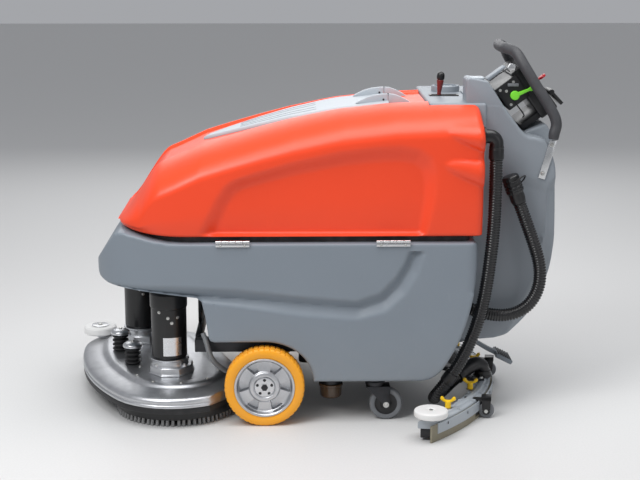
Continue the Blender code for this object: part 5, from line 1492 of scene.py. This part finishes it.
def casters():
    top = 0.1282
    for side, sign in SIDES.items():
        y = sign * CASTER_Y
        axle = (CASTER_X + CASTER_TRAIL, y, CASTER_RADIUS)
        race = turned(filleted([(0.0, 0.108), (0.027, 0.108), (0.030, 0.112), (0.030, 0.1225),
                                (0.026, 0.1235), (0.026, top - 0.0002), (0.0, top - 0.0002)], 0.0012, 2), 48)
        shapes = [moved(race, (CASTER_X, y, 0.0))]
        crown = block((CASTER_X - 0.028, y - 0.0235, 0.1035), (CASTER_X + 0.045, y + 0.0235, 0.1078))
        shapes.append(softened(crown, 0.0018))
        for leg in (-1, 1):
            low, high = sorted((y + leg * 0.0195, y + leg * 0.0235))
            outline = [(CASTER_X - 0.028, 0.106), (CASTER_X + 0.045, 0.106)]
            outline += arc((axle[0], CASTER_RADIUS), 0.013, 20, -200, 14)
            shapes.append(softened(prism(outline, low, high, "Y"), 0.0010))
        placed(grouped(shapes), f"caster_fork_{side}_frame", "dark_steel", f"caster_{side}", "dark_steel",
               stands_for=f"caster_fork_{side}")
        for leg in (-1, 1):
            head = bolt(0.0062, 0.0045)
            face = y + leg * 0.0235
            reshape(head,
                    lambda p: np.column_stack([p[:, 0] + axle[0], face + leg * p[:, 2], p[:, 1] + axle[2]]))
            placed(head, f"caster_bolt_{side}_{'in' if leg * sign < 0 else 'out'}", "zinc",
                   f"caster_{side}", "steel")
        half = 0.015
        tyre_side = [(0.0345, -half + 0.003), (0.038, -half + 0.001), (0.0460, -half + 0.001),
                     (0.0492, -half + 0.004), (CASTER_RADIUS, -half + 0.009)]
        tyre_side += [(r, -h) for r, h in reversed(tyre_side)]
        tyre = moved(turned(tyre_side, 72, True), axle, "Y")
        placed(tyre, f"caster_tyre_{side}", "grey_tyre", f"caster_wheel_{side}", "grey_tyre",
               stands_for=f"caster_wheel_{side}")
        hub_side = [(0.0052, -half), (0.014, -half), (0.017, -half + 0.004), (0.030, -half + 0.005),
                    (0.0345, -half + 0.003)]
        hub_side += [(r, -h) for r, h in reversed(hub_side)]
        hub = moved(turned(filleted(hub_side, 0.001, 2, closed=True), 64, True), axle, "Y")
        placed(hub, f"caster_hub_{side}", "black", f"caster_wheel_{side}", "black_plastic")


# --- brush deck -----------------------------------------------------------------------------------
def deck_outline(radius, steps=56):
    """A circle round each brush, a straight rear edge and a bulging front edge that touch both."""
    near = Vector((BRUSH_X["left"], BRUSH_Y["left"]))
    far = Vector((BRUSH_X["right"], BRUSH_Y["right"]))
    line = math.degrees(math.atan2(far.y - near.y, far.x - near.x))
    sine = math.sin(math.radians(DECK_BULGE))
    front_radius = DECK_RADIUS + 0.5 * (far - near).length / sine
    turn = math.radians(line + 90 + DECK_BULGE)
    centre = near + (DECK_RADIUS - front_radius) * Vector((math.cos(turn), math.sin(turn)))
    outline = arc(near, radius, line + 90 + DECK_BULGE, line + 270, steps)
    outline += arc(far, radius, line - 90, line + 90 - DECK_BULGE, steps)
    inset = radius - DECK_RADIUS
    return outline + arc(centre, front_radius + inset, line + 90 - DECK_BULGE, line + 90 + DECK_BULGE,
                         steps // 2)[1:-1]


def deck_layers(profile):
    """A solid through deck outlines: (inset from the deck's radius, height) pairs."""
    return loft([[(x, y, z) for x, y in deck_outline(DECK_RADIUS - inset)] for inset, z in profile])


def trimmed_for_wheel(shape):
    """Cuts the deck flat beside the left drive wheel, as in the frame."""
    turn, reach = WHEEL_CLEARANCE
    trim = moved(block((reach, -0.3, -0.1), (0.5, 0.3, 0.3)), turn_z=math.radians(-turn))
    return cut(shape, moved(trim, (BRUSH_X["left"], BRUSH_Y["left"], 0.0)))


def deck_cover():
    cover = deck_layers([(0.0030, 0.0640), (0.0006, 0.0655), (0.0, 0.0700), (0.0012, 0.0735),
                         (0.0032, 0.0745), (0.0032, 0.0765), (0.0012, 0.0775), (0.0, 0.0810),
                         (0.0008, 0.0865), (0.0040, 0.0915), (0.0095, 0.0945), (0.0180, 0.0965),
                         (0.0240, 0.0985), (0.0520, 0.1040), (0.0630, 0.1055), (0.0680, 0.1075),
                         (0.0720, 0.1120), (0.0770, 0.1155), (0.0850, 0.1172), (0.1000, 0.1174)])
    trimmed_for_wheel(cover)
    for side in SIDES:
        x, y = BRUSH_X[side], BRUSH_Y[side]
        cut(cover, moved(disc(BRUSH_RADIUS + 0.0085, 0.0, 0.089, 96), (x, y, 0.0)))
        cut(cover, moved(disc(0.030, 0.05, 0.2, 48), (x, y, 0.0)))
    placed(cover, "deck_cover_casting", "cast", "brush_deck", "cast_aluminium", sharp=50.0,
           stands_for="deck_cover")
    skirt = deck_layers([(0.0030, 0.0465), (0.0016, 0.0480), (0.0016, 0.0620), (0.0030, 0.0637)])
    trimmed_for_wheel(skirt)
    for side in SIDES:
        cut(skirt, moved(disc(BRUSH_RADIUS + 0.0085, 0.0, 0.2, 96), (BRUSH_X[side], BRUSH_Y[side], 0.0)))
    placed(skirt, "deck_skirt", "rubber", "brush_deck", "black_rubber")
    arm_side = [(-0.7150, 0.2620), (-0.6980, 0.2500), (-0.6200, 0.2350), (-0.6000, 0.2450), (-0.6000, 0.2900),
                (-0.7000, 0.2960), (-0.7160, 0.2800)]
    arm = softened(prism(filleted(arm_side, 0.010, closed=True), 0.1000, 0.1058, "Z"), 0.0012)
    placed(arm, "bumper_arm", "cast", "brush_deck", "cast_aluminium")
    pin = moved(turned(filleted([(0.0, 0.1050), (0.0080, 0.1050), (0.0080, 0.1375), (0.0, 0.1375)], 0.001),
                       36),
                (-0.705, 0.280, 0.0))
    placed(pin, "bumper_pin", "zinc", "brush_deck", "steel")
    plate = moved(turned(filleted([(0.0, 0.1374), (0.0290, 0.1374), (0.0290, 0.1402), (0.0, 0.1402)],
                                  0.001), 56),
                  (-0.705, 0.280, 0.0))
    placed(plate, "bumper_plate", "steel", "brush_deck", "steel")
    placed(moved(bolt(0.0065, 0.0042), (-0.705, 0.280, 0.1402)), "bumper_bolt", "zinc", "brush_deck", "steel")
    for index, angle in enumerate(range(0, 360, 40)):
        x = BRUSH_X["left"] + 0.128 * math.cos(math.radians(angle))
        y = BRUSH_Y["left"] + 0.128 * math.sin(math.radians(angle))
        if x < -0.54 or y > -0.10:
            continue
        placed(moved(bolt(0.0040, 0.0036), (x, y, 0.1174)), f"deck_bolt_{index}", "zinc", "brush_deck",
               "steel")


def bumper_roller():
    profile = filleted([(0.0090, 0.1110), (0.050, 0.1110), (0.055, 0.115), (0.055, 0.133), (0.050, 0.1370),
                        (0.0090, 0.1370)], 0.002, 3, closed=True)
    ring = moved(turned(profile, 96, True), (-0.705, 0.280, 0.0))
    placed(ring, "bumper_roller_disc", "white", "bumper_roller", "white_plastic", stands_for="bumper_roller")


def curved_patch(radius, low, high, start, end, thickness=0.0005, steps=24):
    """A thin label that follows a cylinder about Z."""
    inner = arc((0.0, 0.0), radius, start, end, steps)
    outer = arc((0.0, 0.0), radius + thickness, end, start, steps)
    return prism(inner + outer, low, high, "Z")


def brush_drives():
    for side in SIDES:
        x, y = BRUSH_X[side], BRUSH_Y[side]
        centre = (x + MOTOR_OFFSET_X, y, 0.0)
        can_side = filleted([(0.0, 0.1663), (0.0500, 0.1663), (MOTOR_RADIUS, 0.1710), (MOTOR_RADIUS, 0.3240),
                             (0.0565, 0.3260), (0.0575, 0.3300), (0.0575, 0.3700), (0.0515, 0.3780),
                             (0.0, 0.3780)],
                            0.002)
        placed(moved(turned(can_side, 72), centre), f"brush_motor_{side}_can", "black", "brush_deck",
               "black_plastic", stands_for=f"brush_motor_{side}")
        first = -105 if side == "left" else 60
        label = moved(curved_patch(MOTOR_RADIUS, 0.1800, 0.2380, first, first + 62), centre)
        placed(label, f"motor_label_{side}", "label", "brush_deck", "steel")
        for k, (angle,
                z) in enumerate(((-118, 0.3180), (-88, 0.3010), (-55, 0.3010), (-76, 0.2850), (62, 0.318),
                                        (150, 0.318))):
            turn = math.radians(angle)
            out = Vector((math.cos(turn), math.sin(turn), 0.0))
            start = Vector(centre) + (MOTOR_RADIUS - 0.0005) * out + Vector((0.0, 0.0, z))
            head = along(bolt(0.0034, 0.0035), start, start + out)
            placed(head, f"motor_screw_{side}_{k}", "zinc", "brush_deck", "steel")
        low_side = [(0.0, 0.1180), (0.0740, 0.1180), (0.0740, 0.1210), (0.0700, 0.1230), (0.0700, 0.1400),
                    (0.0660, 0.1440), (0.0, 0.1440)]
        lower = moved(turned(low_side, 8), (x + MOTOR_OFFSET_X + 0.006, y, 0.0), "Z", math.pi / 8)
        upper = moved(turned(filleted([(0.0, 0.140), (0.0600, 0.140), (0.0570, 0.150), (0.0570, 0.1600),
                                       (0.0590, 0.1620), (0.0590, 0.1660), (0.0, 0.1660)], 0.001, 2), 72),
                      centre)
        shapes = [softened(lower, 0.0025), upper]
        for k in range(4):
            turn = math.radians(90 * k + 45)
            at = (centre[0] + 0.006 + 0.0605 * math.cos(turn), y + 0.0605 * math.sin(turn), 0.0)
            shapes.append(moved(disc(0.0085, 0.1440, 0.1500, 28, 0.0015), at))
        placed(grouped(shapes), f"brush_gearbox_{side}_case", "cast", "brush_deck", "cast_aluminium",
               stands_for=f"brush_gearbox_{side}")
        for k in range(4):
            turn = math.radians(90 * k + 45)
            at = (centre[0] + 0.006 + 0.0605 * math.cos(turn), y + 0.0605 * math.sin(turn), 0.1500)
            placed(moved(bolt(0.0042, 0.0038), at), f"gearbox_bolt_{side}_{k}", "zinc", "brush_deck", "steel")
        brush_side = filleted([(0.0, 0.046), (BRUSH_RADIUS - 0.002, 0.046), (BRUSH_RADIUS, 0.048),
                               (BRUSH_RADIUS, 0.0760), (0.1840, 0.0790), (0.170, 0.082), (0.026, 0.082),
                               (0.026, 0.1172), (0.0, 0.1172)], 0.001, 2)
        placed(moved(turned(brush_side, 96), (x, y, 0.0)), f"brush_block_{side}_disc", "black",
               f"brush_{side}", "black_plastic", stands_for=f"brush_block_{side}")
        bristles(side, x, y)


def bristles(side, x, y):
    rng = random.Random(7 if side == "left" else 8)
    tufts = []
    for radius, count in ((0.178, 72), (0.160, 64), (0.139, 56), (0.118, 46), (0.097, 38), (0.076, 30)):
        for k in range(count):
            turn = 2 * math.pi * (k + 0.35 * rng.uniform(-0.3, 0.3)) / count
            out = Vector((math.cos(turn), math.sin(turn), 0.0))
            lean = 0.0060 * (radius - 0.060) / 0.12 + rng.uniform(-0.0008, 0.0008)
            root, foot = Vector((x, y, 0.0)) + radius * out, Vector((x, y, 0.0)) + (radius + lean) * out
            tufts.append(tube([root + Vector((0, 0, 0.0458)), root.lerp(foot, 0.4) + Vector((0, 0, 0.025)),
                               foot + Vector((0, 0, 0.0006))], [0.0036, 0.0044, 0.0052], 8))
    guard = turned([(0.1835, 0.0190), (0.1865, 0.0190), (0.1870, 0.0200), (0.1870, 0.0457),
                    (0.1835, 0.0457)], 96, True)
    placed(moved(guard, (x, y, 0.0)), f"brush_guard_{side}", "black", f"brush_{side}", "black_plastic")
    placed(grouped(tufts), f"brush_bristles_{side}_tufts", "bristle", f"brush_{side}", "bristle",
           stands_for=f"brush_bristles_{side}")


def deck_mounts():
    for name, x, y in (("deck_mount_left", -0.5515, -0.100), ("deck_mount_right", -0.608, 0.050)):
        folds = [(0.0, 0.1179), (0.0200, 0.1179)]
        for k in range(4):
            z = 0.1185 + 0.0138 * k
            folds += [(0.0175, z), (0.0220, z + 0.0020), (0.0260, z + 0.0045), (0.0260, z + 0.0075),
                      (0.0220, z + 0.0100), (0.0175, z + 0.0120)]
        folds += [(0.0175, 0.1735), (0.0, 0.1735)]
        placed(moved(turned(folds, 48), (x, y, 0.0)), f"{name}_bellows", "rubber", "brush_deck",
               "black_rubber", stands_for=name)
        cap_side = filleted([(0.0, 0.1720), (0.0295, 0.1720), (0.0310, 0.1755), (0.0300, 0.1815),
                             (0.0240, 0.1860), (0.0120, 0.1890), (0.0, 0.1895)], 0.0015, 2)
        placed(moved(turned(cap_side, 48), (x, y, 0.0)), f"{name}_cap", "turned", "brush_deck", "steel")
        placed(moved(bolt(0.0050, 0.0040), (x, y, 0.1893)), f"{name}_bolt", "zinc", "brush_deck", "steel")


# --- squeegee, drawn straight behind its swing axis -----------------------------------------------
WING_KNOBS = [("left_outer", 0.475, -0.330), ("left_inner", 0.535, -0.140), ("right_inner", 0.535, 0.140),
              ("right_outer", 0.475, 0.330)]


def bow_x(y):
    """The squeegee's middle line, seen from above."""
    return SQUEEGEE_MID_X - SQUEEGEE_BOW * y * y


def bowed(profile, half, steps=64):
    """A cross-section of (distance behind the middle line, height), swept along the bow."""
    rings = []
    for y in np.linspace(-half, half, steps):
        rings.append([(bow_x(y) + ahead, float(y), z) for ahead, z in profile])
    return loft(rings)


def squeegee_pivot():
    hub = moved(disc(0.026, 0.092, 0.1298, 48, 0.003))
    ears = [softened(block((0.010, y - 0.004, 0.094), (0.057, y + 0.004, 0.122)), 0.0015) for y in (-0.022,
                                                                                                    0.022)]
    placed(grouped([hub, *ears]), "squeegee_pivot_hub", "dark_steel", "squeegee_swing", "dark_steel", SWUNG,
           stands_for="squeegee_pivot")


def squeegee_arm():
    eye = moved(disc(0.012, -0.0175, 0.0175, 40, 0.001), (0.045, 0.0, 0.108), "Y")
    arm_side = [(0.045, 0.102), (0.400, 0.090), (0.520, 0.0678), (0.534, 0.0678), (0.534, 0.076),
                (0.405, 0.104), (0.045, 0.116)]
    arm = softened(prism(arm_side, -0.014, 0.014, "Y"), 0.0018)
    yoke = softened(block((0.524, -0.055, 0.0662), (0.5405, 0.055, 0.0740)), 0.0015)
    lugs = [softened(block((0.535, y - 0.0085, 0.0660), (0.577, y + 0.0085, 0.0725)), 0.0015)
            for y in (-0.0465, 0.0465)]
    placed(grouped([arm, eye, yoke, *lugs]), "squeegee_arm_bar", "dark_steel", "squeegee_lift",
           "dark_steel", SWUNG, stands_for="squeegee_arm")
    for index, y in enumerate((-0.0465, 0.0465)):
        placed(moved(bolt(0.0058, 0.0050), (0.566, y, 0.0725)), f"yoke_bolt_{index}", "zinc",
               "squeegee_lift", "steel", SWUNG)


def squeegee_body():
    section = filleted([(-0.030, 0.036), (-0.030, 0.0560), (-0.0250, 0.0600), (-0.0120, 0.0610),
                        (-0.0080, 0.0655), (0.0060, 0.0655), (0.0100, 0.0600), (0.0190, 0.0580),
                        (0.022, 0.0540), (0.022, 0.036)],
                       0.002, 3, closed=True)
    placed(bowed(section, SQUEEGEE_HALF, 80), "squeegee_casting", "light_grey", "squeegee_lift",
           "cast_aluminium", SWUNG, stands_for="squeegee_body")
    for index, y in enumerate(np.linspace(-0.400, 0.400, 11)):
        web = block((bow_x(y) - 0.0270, y - 0.0020, 0.0560), (bow_x(y) + 0.0180, y + 0.0020, 0.0640))
        placed(softened(web, 0.0008), f"squeegee_web_{index}", "light_grey", "squeegee_lift",
               "cast_aluminium", SWUNG)
    rear = bowed(filleted([(0.0232, 0.0005), (0.0232, 0.052), (0.0280, 0.052), (0.0280, 0.0005)], 0.0006, 2,
                          closed=True), SQUEEGEE_HALF + 0.022, 80)
    front = bowed(filleted([(-0.0362, 0.0005), (-0.0362, 0.045), (-0.0312, 0.045), (-0.0312, 0.0005)],
                           0.0006, 2, closed=True), SQUEEGEE_HALF - 0.030, 80)
    for sign in SIDES.values():
        middle = sign * 0.210
        cut(rear, block((0.5, middle - 0.030, 0.008), (0.62, middle + 0.030, 0.08)))
    placed(rear, "rear_blade_strip", "tan", "squeegee_lift", "tan_rubber", SWUNG, stands_for="rear_blade")
    placed(front, "front_blade_strip", "rubber", "squeegee_lift", "black_rubber", SWUNG,
           stands_for="front_blade")
    clamp_side = filleted([(0.0283, 0.0225), (0.0283, 0.0545), (0.0302, 0.0545), (0.0310, 0.0500),
                           (0.0310, 0.0240), (0.0302, 0.0225)], 0.0006, 2, closed=True)
    placed(bowed(clamp_side, SQUEEGEE_HALF, 80), "blade_clamp", "light_grey", "squeegee_lift",
           "cast_aluminium", SWUNG)
    for index, y in enumerate(np.linspace(-0.400, 0.400, 9)):
        rivet = disc(0.0040, 0.0, 0.0016, 24, 0.0005)
        placed(moved(rivet, (bow_x(y) + 0.0308, y, 0.0440), "X"), f"clamp_rivet_{index}", "black",
               "squeegee_lift", "black_plastic", SWUNG)
    for side, sign in SIDES.items():
        block_y = sign * (SQUEEGEE_HALF - 0.010)
        low = (bow_x(block_y) - 0.0290, block_y - 0.012, 0.0080)
        high = (bow_x(block_y) + 0.0210, block_y + 0.012, 0.0358)
        placed(softened(block(low, high), 0.003), f"end_block_{side}", "black", "squeegee_lift",
               "black_plastic", SWUNG)


def end_rollers():
    for side, sign in SIDES.items():
        centre = (bow_x(0.426) - 0.002, sign * 0.426, 0.0)
        post = moved(disc(0.012, 0.0500, 0.0700, 36, 0.001), centre)
        placed(post, f"end_roller_post_{side}", "light_grey", "squeegee_lift", "cast_aluminium", SWUNG)
        roller_side = filleted([(0.0, 0.0703), (0.046, 0.0703), (0.050, 0.074), (0.050, 0.088),
                                (0.046, 0.0915), (0.014, 0.0915), (0.012, 0.0890), (0.0, 0.0890)], 0.0025, 3)
        roller = moved(turned(roller_side, 88), centre)
        placed(roller, f"end_roller_{side}_disc", "white", f"end_roller_{side}", "white_plastic", SWUNG,
               stands_for=f"end_roller_{side}")
        head = moved(turned([(0.0, 0.0888), (0.0060, 0.0888), (0.0060, 0.0916), (0.0, 0.0916)], 6), centre)
        placed(head, f"end_roller_bolt_{side}", "zinc", f"end_roller_{side}", "steel", SWUNG)


def support_wheels():
    for side, sign in SIDES.items():
        y = sign * 0.210
        axle = (0.587, y, 0.024)
        shapes = [softened(block((0.520, y - 0.008, 0.0500), (0.588, y + 0.008, 0.0620)), 0.0015),
                  softened(block((0.572, y - 0.016, 0.0565), (0.602, y + 0.016, 0.0695)), 0.0020)]
        for middle in (y - 0.0135, y + 0.0135):
            outline = [(0.572, 0.0690), (0.602, 0.0690)] + arc((0.587, 0.024), 0.0120, 10, -190, 12)
            shapes.append(softened(prism(outline, middle - 0.0025, middle + 0.0025, "Y"), 0.0008))
        placed(grouped(shapes), f"support_fork_{side}", "black", "squeegee_lift", "black_plastic", SWUNG)
        tyre_side = [(0.0125, -0.009), (0.0210, -0.009), (0.0232, -0.0075), (0.024, -0.005), (0.024, 0.005),
                     (0.0232, 0.0075), (0.0210, 0.009), (0.0125, 0.009)]
        tyre = moved(turned(tyre_side, 56, True), axle, "Y")
        placed(tyre, f"support_wheel_{side}_tyre", "grey_tyre", f"support_wheel_{side}", "grey_tyre", SWUNG,
               stands_for=f"support_wheel_{side}")
        hub = moved(turned([(0.0042, -0.0082), (0.0124, -0.0082), (0.0124, 0.0082), (0.0042, 0.0082)], 48,
                           True), axle,
                    "Y")
        placed(hub, f"support_hub_{side}", "white", f"support_wheel_{side}", "white_plastic", SWUNG)
        pin = moved(disc(0.0035, -0.0165, 0.0165, 24, 0.0004), axle, "Y")
        placed(pin, f"support_pin_{side}", "zinc", "squeegee_lift", "steel", SWUNG)
        for index, face in enumerate((-0.0160, 0.0160)):
            head = moved(turned([(0.0, -0.0014), (0.0062, -0.0014), (0.0062, 0.0014), (0.0, 0.0014)], 6),
                         (axle[0], y + face, axle[2]), "Y")
            placed(head, f"support_bolt_{side}_{index}", "zinc", "squeegee_lift", "steel", SWUNG)


def suction_collar():
    collar_side = [(0.0, 0.0660), (0.0290, 0.0660), (0.0290, 0.0720), (0.0265, 0.0735), (0.0265, 0.0860),
                   (0.0, 0.0860)]
    collar = moved(turned(filleted(collar_side, 0.001, 2), 56), (0.570, 0.0, 0.0))
    route = [(0.570, 0.0, 0.080), (0.566, -0.006, 0.100), (0.549, -0.018, 0.110), (0.526, -0.036, 0.103),
             (0.505, -0.051, 0.088), (0.4912, -0.0685, 0.0797)]
    spout = tube(through(route, 40), HOSE_RADIUS + 0.0025, 36)
    placed(grouped([collar, spout]), "suction_collar_spout", "black", "squeegee_lift", "black_plastic", SWUNG,
           stands_for="suction_collar")


def wing_knobs():
    for name, x, y in WING_KNOBS:
        stem = disc(0.009, 0.0668, 0.0880, 36, 0.001)
        wing_side = [(-0.024, 0.0930), (-0.0215, 0.1005), (-0.0150, 0.1005), (-0.0080, 0.0900),
                     (0.0080, 0.0900), (0.0150, 0.1005), (0.0215, 0.1005), (0.024, 0.0930),
                     (0.0120, 0.0845), (-0.0120, 0.0845)]
        wing = softened(prism(filleted(wing_side, 0.004, 3, closed=True), -0.0055, 0.0055, "Y"), 0.0018)
        placed(moved(joined(stem, wing), (x, y, 0.0)), f"wing_knob_{name}_wings", "yellow",
               f"wing_knob_{name}", "yellow_plastic", SWUNG, stands_for=f"wing_knob_{name}")
        washer = moved(turned([(0.0, 0.0656), (0.0130, 0.0656), (0.0130, 0.0664), (0.0, 0.0664)], 36),
                       (x, y, 0.0))
        placed(washer, f"wing_washer_{name}", "zinc", "squeegee_lift", "steel", SWUNG)


# --- the whole scene ------------------------------------------------------------------------------
def make_floor():
    bm = bmesh.new()
    bmesh.ops.create_grid(bm, x_segments=12, y_segments=12, size=20.0)
    floor = bake(bm, "floor")
    floor.data.materials.append(floor_material())
    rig.stage(floor)


def write_sizes():
    """Notes the frame's box and the box of everything drawn over it."""
    bpy.context.view_layer.update()
    corners = [obj.matrix_world @ Vector(corner)
               for obj in bpy.context.scene.objects
               if obj.type == "MESH" and obj.name != "floor" and not obj.hide_render
               for corner in obj.bound_box]
    low = [min(c[k] for c in corners) for k in range(3)]
    high = [max(c[k] for c in corners) for k in range(3)]
    sizes = {"cad": [list(cad_low), list(cad_high)], "visual": [low, high]}
    with open("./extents.json", "w") as out:
        json.dump(sizes, out)


MATERIALS = make_materials()
make_camera()
make_lights()
make_floor()
solution_tank()
recovery_tank()
recovery_lid()
control_column()
vacuum_motor()
batteries()
chassis_frame()
filter_bowl()
transaxle()
tank_hinges()
handle()
console()
controls()
lift_lever()
filler_cap()
foot_pedal()
elbow()
suction_hose()
drain_hose()
water_hose()
drive_wheels()
casters()
deck_cover()
bumper_roller()
brush_drives()
deck_mounts()
squeegee_pivot()
squeegee_arm()
squeegee_body()
end_rollers()
support_wheels()
suction_collar()
wing_knobs()
write_sizes()
